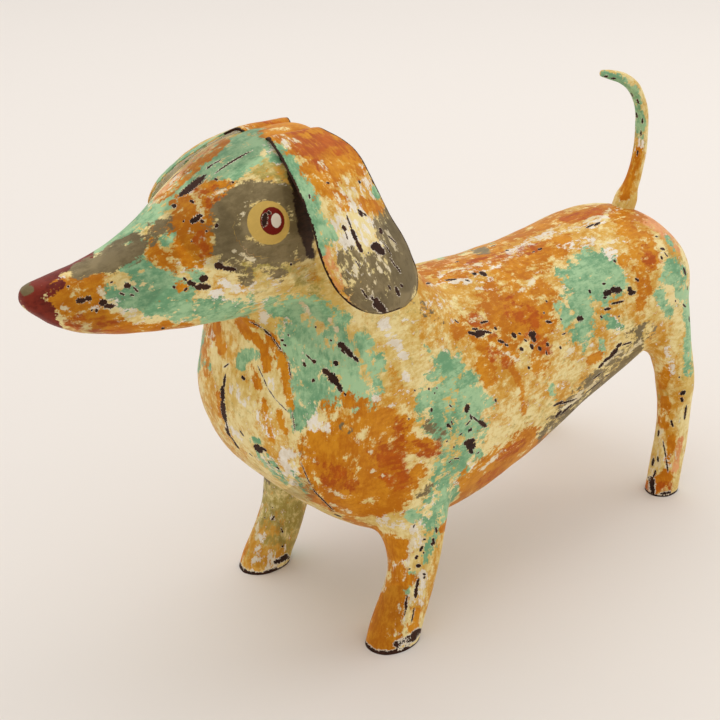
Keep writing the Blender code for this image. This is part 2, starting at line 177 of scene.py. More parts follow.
# where the paint lies: fill, radius in pixels, then the pixels that the brush went through
bodyPaint = {
    "straw": [
        (.3, 8, (262, 170, 280, 178)), (.2, 7, (262, 262, 285, 268)), (.1, 10, (315, 290, 320, 310)),
        (.4, 18, (280, 490, 272, 520, 264, 548)), (.4, 12, (295, 510, 288, 545)),
        (.7, 12, (266, 166, 280, 174, 288, 186)), (.3, 6, (668, 238, 680, 262)), (.2, 7, (300, 270, 305, 285)),
        (.1, 5, (660, 380, 662, 395)), (.1, 6, (250, 268, 268, 280)), (.2, 6, (278, 545, 286, 520)),
    ],
    "ochre": [
        (.2, 8, (90, 290, 105, 285)), (.1, 7, (212, 282, 238, 290)), (.1, 6, (200, 290, 190, 300)),
        (0, 5, (262, 176, 278, 172)), (.1, 4, (255, 178, 285, 182)), (.2, 11, (385, 402, 408, 402)),
        (.2, 5, (393, 375, 398, 390)), (.2, 8, (405, 418, 418, 420)), (.1, 6, (345, 415, 358, 425)),
        (.1, 14, (520, 285, 545, 295)), (.1, 10, (500, 380, 520, 395)), (0, 10, (545, 385, 565, 395)),
        (.2, 7, (575, 395, 590, 375)), (0, 8, (620, 240, 640, 245)), (0, 8, (625, 300, 640, 315)),
        (.2, 6, (560, 212, 590, 205)), (.1, 6, (510, 235, 550, 220)), (0, 8, (440, 300, 460, 290)),
        (0, 8, (660, 340, 668, 330)), (.1, 6, (535, 380, 545, 370)), (.2, 6, (668, 375, 664, 400)),
        (.15, 6, (670, 420, 668, 445)), (.1, 5, (418, 600, 415, 620)), (.2, 2.5, (440, 530, 434, 570, 426, 615)),
        (.4, 12, (266, 540, 256, 562, 270, 552)), (.2, 15, (470, 300, 520, 290, 560, 270)),
        (.05, 15, (560, 345, 600, 335)), (.15, 12, (480, 362, 520, 385)), (.1, 14, (620, 250, 650, 285)),
        (.05, 12, (600, 312, 640, 300)), (.1, 12, (430, 330, 455, 345)), (.1, 12, (505, 405, 480, 430)),
        (.1, 10, (205, 380, 215, 420)), (.5, 18, (430, 285, 480, 270, 530, 250, 580, 232)),
        (.2, 16, (440, 310, 470, 350)), (.3, 14, (600, 235, 640, 232)), (.2, 10, (245, 535, 250, 560)),
        (.2, 12, (500, 385, 530, 375, 560, 360)), (.3, 12, (655, 340, 665, 370, 668, 400)),
        (.5, 7, (660, 230, 676, 250)), (.4, 9, (612, 262, 640, 262)), (.2, 9, (215, 425, 240, 455)),
        (.3, 10, (268, 420, 280, 460)), (.2, 8, (225, 340, 235, 360)),
    ],
    "peach": [
        (.2, 3, (152, 202, 172, 182, 198, 158, 222, 140)), (.6, 9, (645, 216, 662, 230)),
        (.4, 6, (668, 232, 676, 246)), (.1, 3, (680, 440, 674, 472)), (0, 4, (430, 265, 460, 258)),
        (.1, 4, (655, 255, 662, 262)),
    ],
    "white": [
        (0, 3.5, (186, 270, 205, 264)), (.1, 3, (118, 298, 128, 308)), (0, 3, (92, 297, 100, 310)),
        (-.2, 3, (222, 286, 250, 291)), (-.2, 3, (250, 288, 285, 276)), (-.3, 3.5, (235, 300, 262, 297)),
        (.4, 4.5, (283, 188, 290, 202)), (.4, 5, (266, 143, 276, 160)), (0, 3, (175, 200, 190, 192)),
        (0, 3, (150, 330, 156, 327)), (0, 3, (212, 292, 232, 302)), (0, 2.5, (45, 280, 60, 282)),
        (-.1, 5, (128, 312, 150, 325)), (0, 2.5, (172, 180, 205, 160)), (0, 3, (195, 210, 208, 202)),
        (.2, 2, (100, 330, 118, 322)), (.5, 5.5, (308, 402, 312, 418, 316, 428)), (.1, 4, (290, 320, 284, 338)),
        (.5, 5, (384, 322, 392, 338, 404, 354)), (0, 3, (311, 448, 316, 460)), (0, 3, (320, 445, 324, 458)),
        (0, 3, (322, 425, 338, 430)), (.3, 3, (406, 374, 408, 378)), (.2, 6, (408, 514, 420, 520)),
        (.3, 5, (380, 520, 402, 526)), (0, 4, (372, 390, 376, 398)), (.1, 4, (270, 300, 262, 320)),
        (.1, 4, (233, 388, 246, 402)), (.1, 4, (264, 366, 270, 385)), (0, 6, (258, 408, 272, 432)),
        (0, 6, (282, 448, 294, 478)), (0, 4, (262, 455, 285, 475)), (0, 3, (210, 335, 212, 345)),
        (0, 3, (228, 425, 240, 440)), (.1, 2.5, (440, 273, 490, 262, 522, 247, 560, 228)),
        (.15, 2.5, (428, 283, 455, 279, 500, 266)), (.2, 3, (598, 220, 618, 207)), (.1, 3.5, (572, 230, 602, 221)),
        (.1, 4, (562, 247, 592, 240)), (0, 5, (598, 257, 612, 254)), (0, 4, (612, 322, 618, 328)),
        (0, 3, (585, 343, 590, 345)), (0, 3, (468, 282, 495, 290)), (0, 3, (490, 283, 496, 296)),
        (0, 4, (430, 303, 450, 305)), (.1, 3, (540, 446, 552, 432)), (0, 3.5, (458, 484, 470, 466)),
        (0, 5, (436, 500, 428, 510)), (0, 4, (300, 500, 312, 506)), (.3, 5, (398, 568, 404, 558)),
        (.2, 4, (414, 528, 420, 545)), (.15, 4, (412, 580, 408, 600)), (.1, 4, (422, 575, 420, 600)),
        (.1, 3, (402, 615, 398, 632)), (.2, 3, (372, 632, 372, 640)), (.2, 2.5, (362, 646, 372, 650, 385, 650)),
        (0, 3, (262, 535, 256, 560)), (0, 3, (272, 552, 270, 565)), (.2, 2.5, (245, 572, 262, 573, 275, 568)),
        (.2, 3, (668, 350, 672, 372)), (.1, 2.5, (666, 440, 668, 470)), (.2, 2.5, (655, 470, 652, 490)),
    ],
    "mint": [
        (.6, 11, (222, 152, 243, 140)), (.55, 11, (235, 165, 256, 152)), (.4, 7, (214, 172, 232, 172)),
        (.25, 8, (122, 238, 150, 216, 176, 196)), (.2, 5, (205, 320, 245, 317)),
        (.2, 6, (178, 188, 200, 168, 214, 158)), (.05, 5, (160, 206, 178, 194)), (0, 6, (150, 215, 125, 235)),
        (.8, 7, (244, 128, 262, 127)), (.7, 14, (205, 168, 228, 160, 255, 142)), (.3, 5, (262, 145, 275, 160)),
        (.3, 8, (95, 248, 120, 230, 150, 208)), (.6, 13, (138, 268, 160, 278, 182, 292)),
        (.5, 12, (136, 296, 155, 305, 185, 309)), (.45, 9, (200, 309, 225, 311, 248, 306)),
        (.3, 6, (190, 268, 198, 276)), (.35, 7, (150, 238, 135, 248)), (.2, 6, (165, 240, 170, 232)),
        (.1, 7, (112, 292, 125, 303)), (.35, 13, (295, 340, 300, 375, 305, 405)), (.3, 16, (330, 350, 350, 385)),
        (.2, 10, (345, 395, 365, 405)), (.5, 14, (300, 330, 308, 358, 318, 388)), (.35, 10, (285, 330, 290, 348)),
        (.35, 12, (338, 335, 345, 360, 352, 385)), (.1, 9, (362, 340, 376, 362)), (.45, 7, (297, 380, 298, 424)),
        (.4, 9, (328, 402, 345, 398)), (.2, 9, (275, 308, 300, 305)), (.1, 9, (315, 305, 340, 320)),
        (.05, 7, (372, 375, 375, 388)), (.4, 3.5, (197, 332, 197, 368)), (.2, 3.5, (203, 362, 208, 366)),
        (.7, 7, (241, 359, 251, 354)), (.6, 4.5, (240, 365, 241, 366)), (.1, 3, (252, 440, 258, 442)),
        (0, 4, (292, 474, 300, 485)), (-.1, 4, (300, 485, 318, 500)), (-.1, 5, (262, 455, 285, 480)),
        (.3, 15, (448, 370, 464, 395, 470, 425)), (.15, 12, (428, 400, 445, 430)),
        (.5, 10, (445, 362, 455, 385, 468, 398)), (.5, 8, (470, 378, 478, 405)), (.5, 6, (484, 400, 492, 402)),
        (.4, 9, (452, 418, 470, 432)), (.25, 7, (438, 392, 448, 405)), (.15, 9, (425, 422, 438, 432)),
        (.1, 7, (465, 448, 478, 458)), (.0, 15, (455, 455, 446, 485, 438, 515)), (-.3, 8, (430, 510, 436, 490)),
        (-.4, 7, (430, 545, 436, 520)), (.5, 2, (424, 343, 430, 352, 437, 364)), (0, 5, (455, 470, 450, 500)),
        (.8, 19, (583, 280, 604, 284)), (.8, 14, (590, 262, 612, 272)), (.8, 14, (578, 290, 584, 318)),
        (.55, 11, (580, 300, 585, 328)), (.35, 10, (572, 322, 582, 338)), (.4, 8, (612, 265, 620, 285)),
        (.3, 5, (558, 272, 566, 275)), (.2, 6, (560, 308, 566, 318)), (.1, 6, (605, 320, 618, 326)),
        (.1, 3, (600, 340, 603, 352)), (.1, 4, (550, 385, 556, 398)), (.35, 8, (668, 276, 682, 285)),
        (.3, 6, (660, 295, 668, 312)), (.3, 11, (672, 270, 684, 295)), (.45, 6, (686, 300, 690, 335)),
        (.3, 5, (688, 340, 688, 372)), (0, 4, (668, 238, 674, 255)), (.1, 4, (683, 270, 688, 295)),
        (0, 3, (440, 258, 470, 248, 500, 239)), (.15, 5, (410, 515, 428, 523)), (.1, 4, (430, 545, 425, 560)),
        (0, 4, (410, 575, 405, 590)),
    ],
    "orange": [
        (.9, 8, (264, 124, 282, 122, 306, 127)), (.9, 8, (266, 134, 292, 134)), (.5, 16, (345, 452, 368, 468)),
        (.3, 11, (378, 432, 405, 438)), (.9, 12, (316, 440, 330, 470, 340, 495)), (.6, 18, (500, 315, 540, 320)),
        (.2, 5, (160, 200, 190, 172, 225, 142)), (.3, 5, (112, 333, 150, 331, 190, 325)),
        (.35, 12, (183, 203, 188, 225, 185, 250)), (.3, 9, (200, 192, 220, 190)), (.3, 10, (208, 212, 205, 235)),
        (.25, 9, (205, 250, 190, 262)), (.15, 7, (170, 262, 152, 250, 148, 243)), (.3, 6, (158, 228, 172, 228)),
        (.1, 5, (175, 275, 183, 285)), (.2, 5, (232, 186, 222, 196)), (.7, 12, (58, 300, 80, 312, 105, 322)),
        (.5, 9, (50, 286, 70, 283, 95, 282)), (.45, 9, (70, 297, 95, 300)), (.25, 7, (115, 318, 125, 327)),
        (.3, 5, (140, 330, 170, 325)), (.3, 4.5, (206, 325, 207, 345)), (.45, 4.5, (217, 325, 221, 350)),
        (.05, 4, (203, 350, 206, 372)), (.2, 3.5, (219, 396, 222, 415)), (.3, 4, (239, 323, 249, 335)),
        (.4, 5, (256, 337, 264, 352, 267, 368)), (.5, 5.5, (270, 338, 281, 355, 286, 378, 289, 402)),
        (.1, 3.5, (253, 370, 258, 388)), (.1, 3, (279, 412, 284, 430)), (0, 3, (262, 400, 272, 440)),
        (.4, 3, (240, 320, 258, 326)), (.55, 18, (318, 458, 340, 478, 372, 488)),
        (.5, 17, (362, 452, 388, 470, 392, 495)), (.35, 9, (405, 445, 428, 447)),
        (.5, 9, (335, 500, 362, 510, 395, 505)), (.3, 9, (305, 445, 330, 438)), (.2, 6, (350, 428, 372, 422)),
        (.3, 5, (303, 470, 318, 490)), (.3, 7, (420, 470, 405, 490)), (.4, 4, (345, 518, 372, 532, 385, 540)),
        (.3, 12, (335, 435, 372, 415, 400, 425)), (.5, 14, (320, 495, 350, 505)), (.1, 8, (330, 405, 360, 400)),
        (.15, 8, (425, 272, 470, 252, 520, 233, 560, 216)), (.2, 10, (500, 275, 540, 262, 560, 246)),
        (.4, 20, (500, 310, 525, 318)), (.5, 12, (470, 482, 500, 458, 530, 438)), (.2, 10, (625, 225, 636, 250)),
        (.2, 17, (497, 296, 525, 303)), (.25, 12, (500, 318, 535, 325)), (.0, 12, (482, 335, 510, 350)),
        (.2, 9, (540, 340, 540, 365)), (.1, 9, (485, 365, 490, 378)), (.3, 3, (512, 368, 522, 388, 524, 412)),
        (.1, 8, (468, 322, 460, 330)), (.3, 5, (422, 270, 460, 263, 500, 250)),
        (.25, 5, (425, 280, 470, 270, 505, 258)), (.35, 7, (515, 262, 545, 248, 565, 238)),
        (.5, 6, (565, 220, 590, 212, 612, 207)), (.2, 6, (500, 272, 530, 270)), (.1, 6, (540, 285, 556, 297)),
        (.35, 8, (615, 215, 638, 214)), (.3, 9, (645, 238, 650, 262)), (.25, 7, (640, 268, 645, 290)),
        (.1, 5, (630, 250, 622, 262)), (.1, 5, (642, 295, 640, 312)),
        (.6, 8, (468, 492, 500, 470, 530, 455, 545, 443)), (.5, 4, (468, 495, 455, 512, 447, 530)),
        (.35, 5, (590, 360, 600, 356)), (.9, 12, (388, 545, 398, 550)), (.9, 12, (392, 590, 385, 612, 374, 640)),
        (.7, 8, (402, 575, 408, 580)), (.9, 10, (398, 600, 395, 625)), (.4, 4, (418, 612, 413, 630)),
        (.6, 5, (380, 540, 388, 565)), (.5, 7, (375, 642, 395, 642)),
        (0, 2.5, (257, 478, 253, 510, 243, 545, 239, 562)), (.8, 7, (652, 485, 665, 478)),
        (.8, 5, (647, 490, 655, 492)), (.3, 4, (668, 462, 672, 440)), (.1, 4, (664, 425, 665, 400)),
        (.2, 4, (667, 368, 662, 385)),
    ],
    "deep": [
        (.4, 7, (212, 205, 232, 203)), (.2, 4, (196, 192, 214, 188)), (.2, 6, (200, 238, 205, 250)),
        (.1, 9, (75, 325, 110, 328)), (.25, 12, (385, 452, 398, 478)), (.2, 8, (405, 447, 432, 449)),
        (0, 9, (330, 478, 350, 482)), (0, 7, (395, 440, 402, 425)), (.1, 5, (320, 462, 338, 474)),
        (.25, 9, (512, 308, 535, 318)), (.1, 6, (490, 352, 505, 362)), (.15, 6, (475, 320, 490, 332)),
        (.1, 5, (530, 335, 548, 350)), (.2, 4, (565, 219, 600, 212)), (0, 4, (470, 265, 540, 246)),
        (.3, 5, (500, 458, 522, 443)), (.1, 4, (480, 482, 500, 470)), (.1, 6, (645, 250, 650, 262)),
        (.2, 5, (650, 487, 668, 487)),
    ],
    "taupe": [
        (1, 16, (230, 204, 228, 226, 233, 248)), (.9, 12, (230, 200, 248, 193, 268, 190, 288, 197)),
        (1, 13, (242, 250, 265, 256, 286, 250, 298, 236)), (.9, 10, (297, 206, 302, 230, 303, 250)),
        (1, 18, (252, 222, 282, 224)), (.1, 7, (238, 262, 246, 276)), (0, 7, (268, 266, 280, 274)),
        (.9, 10, (134, 250, 108, 259, 82, 268)), (.6, 8, (142, 246, 128, 256, 112, 266)),
        (.1, 7, (150, 240, 165, 226)), (.4, 5, (138, 236, 122, 241, 108, 250)), (.2, 4, (168, 218, 150, 226)),
        (.8, 6, (24, 286, 27, 290)), (0, 10, (636, 348, 610, 368, 586, 392, 563, 416, 546, 434)),
        (.5, 4, (640, 350, 614, 374, 590, 398, 566, 424)), (-.3, 7, (632, 334, 650, 330)),
        (-.5, 4, (415, 300, 425, 311, 442, 320)), (.8, 3.4, (475, 252, 486, 250.5)), (-.2, 3, (262, 478, 268, 482)),
        (-.2, 4, (420, 497, 430, 485)), (-.1, 6, (430, 425, 440, 435)), (-.2, 4, (344, 427, 348, 430)),
    ],
    "maroon": [
        (1.2, 17, (22, 288, 30, 296)), (1.2, 13, (32, 300, 44, 314)), (1.2, 8, (48, 318, 55, 326)),
        (1.2, 12, (22, 280, 40, 276, 58, 268)), (.9, 7, (60, 270, 88, 258)), (.4, 5, (60, 285, 50, 292)),
    ],
    "scratch": [
        (0, 1.1, (300, 455, 318, 462)), (0, 1.1, (355, 440, 372, 452)), (-.1, 1, (320, 486, 345, 497)),
        (0, 1, (372, 470, 392, 480)), (0, 1, (330, 505, 350, 512)), (0, 1.2, (62, 306, 80, 318)),
        (.1, 1.6, (100, 290, 108, 300)), (0, 1.2, (112, 300, 122, 312)), (0, 1.1, (130, 310, 150, 318)),
        (0, 1.2, (165, 190, 182, 176)), (0, 1.2, (150, 205, 165, 195)), (0, 1.1, (205, 196, 225, 190)),
        (0, 1.1, (190, 232, 205, 240)), (-.4, 1.2, (246, 203, 243, 222, 247, 240)), (0, 1.1, (235, 250, 255, 262)),
        (0, 1.1, (215, 285, 240, 290)), (0, 1.2, (300, 300, 312, 318)), (0, 1.1, (330, 320, 340, 335)),
        (0, 1.1, (300, 345, 304, 360)), (0, 1.2, (440, 273, 490, 262)), (0, 1.2, (500, 262, 530, 250)),
        (0, 1.2, (540, 240, 575, 228)), (0, 1, (520, 292, 535, 280)), (0, 1.1, (585, 222, 610, 210)),
        (0, 1.1, (470, 320, 490, 316)), (0, 1.1, (500, 350, 520, 362)), (0, 1.1, (440, 345, 460, 360)),
        (0, 1.1, (600, 245, 620, 240)), (0, 1.1, (565, 355, 580, 345)), (.1, 1.6, (560, 412, 590, 385)),
        (0, 1.3, (600, 368, 622, 350)), (0, 1.3, (575, 400, 600, 378)), (0, 1.3, (620, 358, 640, 342)),
        (0, 1.2, (480, 470, 505, 450)), (0, 1.2, (412, 540, 404, 580)), (0, 1.2, (418, 560, 412, 600)),
        (0, 1.2, (400, 600, 396, 630)), (0, 1.1, (388, 560, 382, 590)), (0, 1.1, (662, 430, 658, 470)),
        (0, 1.1, (262, 505, 256, 540)),
    ],
    # painted shadow in the slot between the ear's front edge and the head, then thin dark lines along the chest seam
    "shadowAndSeam": [
        (.5, 2, (282, 158, 289, 170)), (.9, 3.4, (290, 174, 295, 188, 299, 200)),
        (.9, 7, (300, 204, 303, 219, 307, 236)), (.9, 4.5, (306, 240, 311, 256)),
        (-.1, 1.3, (246, 320, 256, 324, 268, 333, 279, 346, 288, 360)),
        (-.3, 1.2, (289, 364, 293, 400, 297, 432, 304, 466, 318, 496, 338, 514)),
    ],
    "bare": [
        (.3, 4, (398, 644, 412, 638, 418, 632)), (.4, 2, (358, 648, 372, 654, 390, 655, 408, 648)),
        (.5, 3, (239, 566, 241, 572)), (.4, 3, (276, 562, 286, 557)), (.1, 1.5, (245, 575, 262, 574, 276, 569)),
        (.2, 2, (651, 478, 651, 497)), (.2, 1.5, (658, 497, 670, 492)),
    ],
    # painted shade below the ear's front edge, on the neck under the ear and down the far foreleg, and darker patches
    # on the head, the snout and the near foreleg
    "shadeAndDarken": [
        (.2, 30, (150, 262, 120, 290, 90, 300)), (.36, 30, (205, 160, 238, 142)), (.3, 30, (190, 210, 215, 240)),
        (.22, 26, (130, 255, 110, 300)), (.25, 20, (60, 300, 90, 315)), (.15, 20, (300, 320, 345, 350)),
        (.15, 16, (398, 600, 385, 640)), (.3, 16, (268, 480, 300, 490)), (.12, 20, (280, 500, 262, 550)),
        (.3, 4, (270, 505, 280, 525, 282, 545)), (.2, 14, (300, 252, 304, 272)), (.3, 8, (290, 190, 296, 230)),
    ],
    "flecks": [
        (.6, 12, (480, 328, 520, 340, 545, 350)), (.5, 7, (605, 288, 632, 290)), (.4, 6, (608, 302, 620, 300)),
        (.5, 7, (462, 450, 475, 440)), (.3, 6, (428, 385, 436, 390)), (.3, 6, (450, 440, 448, 458)),
        (.4, 6, (560, 412, 600, 372, 622, 345)), (.3, 6, (480, 272, 490, 272)), (.4, 6, (659, 240, 665, 262)),
        (.3, 4, (685, 265, 690, 320)), (.4, 5, (683, 392, 687, 415)), (.4, 5, (655, 440, 660, 490)),
        (.4, 5, (425, 545, 413, 600, 405, 620)), (.3, 5, (256, 490, 246, 540)), (.3, 5, (283, 510, 284, 545)),
        (.3, 6, (235, 420, 240, 440)), (.3, 5, (195, 200, 172, 205)), (.3, 4, (214, 178, 236, 182)),
        (.3, 4, (76, 300, 110, 305)), (.3, 5, (340, 350, 350, 380)), (.2, 5, (282, 335, 290, 350)),
    ],
}

# chips and scratches down to the bare metal: the pixels of both ends and the width in pixels
bodyChips = [
    # forehead and cheek
    (178.7, 196.6, 206, 174.8, 6.5), (215.4, 173, 249.9, 151.5, 1.6), (206, 169.5, 213, 164, 1.8),
    (213, 164, 221, 160, 1.2), (171, 179.5, 180, 171.5, 1.2), (190, 222.5, 200, 217, 5), (196, 216, 203, 215.5, 3),
    (200, 220, 204, 222.5, 2.5), (190, 200, 194, 203.5, 2.5), (172, 204.5, 176, 207.5, 3.5),
    (214, 178.5, 218, 180, 2.2), (231.5, 182, 234, 183, 2), (215.5, 225, 218, 226.5, 3.5),
    (205.5, 230.5, 207.5, 232, 2.2), (182.5, 221, 184.5, 221.5, 1.6), (191, 241, 192, 242, 1.2),
    (214.5, 264.5, 224, 267, 6), (222, 268, 236, 269.5, 4), (199, 279.5, 208, 277.5, 5.5), (187, 282, 196, 285, 4.5),
    (194, 286.5, 211, 287, 5), (183, 277.5, 187, 281, 2), (184, 291, 187.5, 288, 2), (172.5, 286, 175.5, 288, 2),
    (290, 265, 292, 263.5, 2), (161.5, 328.5, 164.5, 328, 2.2), (265.5, 213, 264, 227, 4.5),
    (267, 212, 271, 214, 2.5),
    # snout
    (124, 285.5, 131, 286, 4.5), (133, 287, 138.5, 292, 1.8), (119.5, 292.5, 124.5, 295, 1.8),
    (130, 294.5, 134.5, 295.5, 1.6), (110, 283, 113, 281.5, 1.6), (67.5, 286, 69, 287, 2), (76, 301, 86, 300, 4.5),
    (85, 299, 92, 298, 4), (99, 303, 107, 302, 5.5), (103, 306, 115, 306, 4), (95.5, 311, 97.5, 310, 2.5),
    (91, 311, 93, 309.5, 1.5),
    # neck
    (265, 331.5, 271, 335.3, 1.8), (280.5, 340, 284, 340.5, 2), (287.5, 335.3, 289, 335, 1.6),
    (283, 344, 286.5, 346, 1.4), (315, 327.5, 316.5, 326.5, 1.8), (306, 354.5, 312, 360.5, 1.4),
    (312, 360.5, 316, 362.5, 3.2), (303.5, 362, 305.5, 367, 2.2), (312.5, 382.5, 314, 378.5, 2.6),
    (322.5, 369, 331, 376, 5), (328, 374, 338, 383, 7), (336, 381, 342, 392, 4), (344, 393, 346, 396, 1.8),
    (333.5, 361.5, 338, 365, 4), (338, 342.5, 346, 350, 5), (344, 347, 353, 357, 4.5), (352, 356, 359, 361.5, 3),
    (341, 349, 345, 354, 2), (330, 339.5, 332, 341, 2),
    # chest
    (223.5, 367.5, 229, 363.5, 1.4), (241.5, 376, 245, 380, 2.8), (225.5, 374, 223.5, 388, 2.4),
    (222.8, 386, 222.8, 402, 4.5), (223, 400, 225.5, 422, 5.5), (225.5, 419, 229, 432, 2), (226, 427.5, 230, 437, 4),
    (230, 436, 235, 442, 1.6), (234, 441, 239, 449, 2.6), (239.5, 430, 244, 436.5, 1.2), (254.5, 445.5, 262, 452, 6),
    (260, 447, 267, 451, 2.5), (249, 453, 253, 456.5, 1), (268, 461, 270, 464, 1.2), (276.8, 466.5, 279, 469.5, 2.2),
    (334.5, 514, 341, 517, 3.5), (250, 321.5, 262, 328, 1.0), (263, 328.5, 272, 337, 1.3), (273, 338, 282, 351, 1.1),
    (288.5, 362, 291, 379, .9), (292, 412, 295, 431, .8), (301, 463, 311, 486, 1.0), (312, 488, 333, 510, 1.5),
    (257.6, 365.5, 263.7, 378.8, .8), (263.7, 378.8, 267.8, 388, .7), (267.8, 388, 275, 399, .8),
    (275, 399, 288, 412, .7),
    # behind the shoulder
    (413.9, 390.3, 415.8, 390.8, 1.5), (428, 388.5, 430, 389.5, 2), (434, 393, 435.5, 393, 1.5),
    (436, 388, 438, 388, 1.2), (430.8, 408, 432, 412, 2.2), (449, 404.5, 452, 407.5, 1.4), (408, 419, 410, 419, 1.8),
    (465, 412, 469, 405, 5), (470, 414, 472, 420, 2), (471, 420, 465.5, 426, 1.3), (472, 416.5, 479, 422, 1.8),
    (478, 421, 487, 426.5, 4), (446.5, 424, 451, 427.5, 3), (451, 420.5, 452.5, 425, 1.5), (468, 431, 472, 429, 3.2),
    (459, 435.5, 462.5, 432.8, 1.2), (446, 442, 448, 440.8, 1.4), (453.5, 446, 454.5, 448, 1.2),
    (463.5, 443.5, 475, 440.5, 5.5), (466, 445, 475.5, 446.5, 7), (469, 449, 473, 453, 4),
    (477, 454, 479.5, 451.5, 1.2), (453.5, 458.3, 459.5, 458.5, 1.2), (448.5, 462.5, 451.5, 461, 1.1),
    (494.8, 398.8, 496.5, 402, 2.4),
    # middle of the flank
    (467.8, 332.5, 476, 334, 3), (474, 335, 485, 332, 6), (482, 331, 492, 333, 2), (472, 329, 478, 329, 2),
    (480, 323, 488, 321, 2), (494, 327.5, 497, 329.5, 2.2), (454, 319.5, 459, 323, 1.4),
    (497.8, 340.5, 504.5, 342.5, 2.4), (504.5, 344, 508.5, 346, 1.8), (511.5, 333.5, 516.5, 337, 4),
    (518, 333, 521, 334, 1.5), (528.5, 334.5, 536, 334, 5), (531, 337, 536, 341, 4), (524, 339.5, 527, 341.5, 2),
    (519.5, 348, 523.5, 350, 3), (530, 344.5, 533.5, 348.5, 3.6), (538, 347, 541.5, 350, 3),
    (546, 343.5, 549, 345.5, 3), (545.8, 350.5, 547.2, 355.5, 1.4), (545.5, 321.5, 552, 322.5, 2.4),
    (543, 312.5, 545, 313.5, 1.6), (545.5, 300.5, 547.5, 302, 1.6), (527.5, 366.5, 530, 369, 2.4),
    (559.5, 346.5, 561.5, 349, 2), (560, 318.5, 562, 320, 1.5),
    # along the back
    (472.4, 274.5, 476.5, 273, 2.6), (479, 272.5, 487, 275, 3.6), (444.5, 280.3, 457, 279.2, 1.8),
    (426, 284, 430.5, 283, 1.8), (465, 280, 470, 281, 1.2), (505.5, 250.8, 508.8, 250, 1.5), (538, 250, 542, 248, 2),
    (532, 252.5, 535, 251, 1.2), (490, 247, 496, 244.5, 1), (455, 262.5, 459, 261, 1.2), (586, 228, 594, 224, 1.8),
    (594, 226, 600, 222, 2.4),
    # hind quarters
    (602, 284, 606, 283.5, 1.8), (603, 294, 612, 292, 5), (610, 290, 622, 290, 5.5), (603, 298, 607, 297, 2),
    (628, 287, 632, 293, 4.5), (628, 294, 636, 292, 3.5), (635, 278.5, 639, 281, 2.2), (611, 304, 624, 301, 2),
    (604, 309.5, 611, 308.5, 2.2), (588.5, 290, 591, 293, 2.4), (576.5, 318, 583.5, 319, 4.5),
    (600, 316, 602.5, 318, 1.8), (618, 317, 620, 316, 1.2), (562, 334.5, 566, 333, 1.3), (613.5, 260, 616, 262.5, 2),
    (655, 236.5, 658, 236.5, 1.4), (660, 248.5, 665, 249.5, 2.4), (661, 256, 662.5, 259.5, 2.4),
    (664, 252, 668, 257, 1.2), (683, 268, 686, 275, 3.5), (687, 286, 687.5, 290, 1.6), (675, 300, 676, 302, 1.4),
    (682.5, 304, 686, 307, 1.8), (689, 316, 689.5, 322, 2),
    # edge of the belly
    (553, 406, 564, 401, 2.4), (560, 404, 577, 398.5, 1.8), (555, 417, 562, 411, 3.6), (560, 415, 572, 404.5, 3),
    (571, 412, 576, 408, 2.4), (584, 395, 601, 381, 1.5), (592, 380, 602, 372, 1.6), (598, 368, 604, 363, 2.6),
    (603, 362, 612, 356, 3), (610, 357, 618, 348, 4), (616, 347, 622, 343.5, 3), (622, 345, 632, 342, 1.6),
    (605, 376, 610, 374, 1.2),
    # hind leg
    (678.5, 377, 680, 377.5, 1.5), (680, 394, 686, 391.5, 3.5), (681, 397, 683, 402, 2.6),
    (686.5, 405, 684.5, 420, 2.2), (671, 420, 673, 427, 2), (663, 441, 666, 458, 1.2), (666, 458, 668, 472, 1.4),
    (659, 430, 658, 437, 1.4), (654, 458, 652, 466, 2), (658, 456, 658, 462, 1.6), (656, 470, 653, 478, 1.6),
    (651, 480, 652, 497, 2.4),
    # near foreleg
    (435.5, 527, 437, 533, 2), (413, 528, 415, 524, 1.2), (423, 539.5, 426, 539, 2), (433, 538, 434, 545, 2.6),
    (431, 543, 433, 545.5, 2), (419.5, 551.5, 423, 546, 2.4), (423, 552, 424, 553.5, 1.4),
    (415.5, 559.5, 417.5, 555, 2.6), (416, 565, 421, 566.5, 3.4), (409, 568.5, 410, 569.5, 1.8),
    (423, 573, 425.5, 575, 2), (423, 578, 425.5, 577, 2.4), (419, 578, 416, 590, 2.4), (416.5, 587, 415.5, 598, 3),
    (407.5, 595, 406, 601, 1.4), (406, 600, 406, 610, 2.4), (405.5, 610, 404.5, 616, 1.2),
    (414.5, 607, 413, 613, 1.2), (413.5, 612, 411.5, 622.5, 1.4), (372.5, 611, 373.5, 612, 1.2),
    # far foreleg
    (271.5, 520.5, 274.5, 516, 1.8), (264, 517.5, 266, 518, 1), (272, 507, 273, 508, 1), (256.5, 490, 257, 497, 1),
    (281.5, 547, 283.5, 545.5, 1.8), (281, 528, 283, 533, 1.2),
]

# the paints from the first to the last, and then what isn't brushed on, the last of which is painted shade and darker
# patches
# among the brushed paints is a dark brown for painted shadow beside the ear and for the seam lines
brushed = ["straw", "ochre", "peach", "white", "mint", "orange", "deep", "maroon", "taupe", "scratch", "shadowAndSeam"]
colours = brushed + ["bare", "flecks", "shadeAndDarken"]
brush = {
    "softest": 5 * mm, "crispest": 1.4 * mm, "edge": .65,  # width of a stroke's edge, the last as a share of its radius
    "reach": 1.3, "slack": 8 * mm, "unpainted": -1.8,
    "mirrorFrom": 14 * mm, "steadyFrom": 0.17, "wander": 7 * mm, "wanderUp": 0.6,  # the twins on the far side
    "lift": {"ochre": .05, "mint": .2, "orange": .2, "taupe": .15, "white": -.05},
}


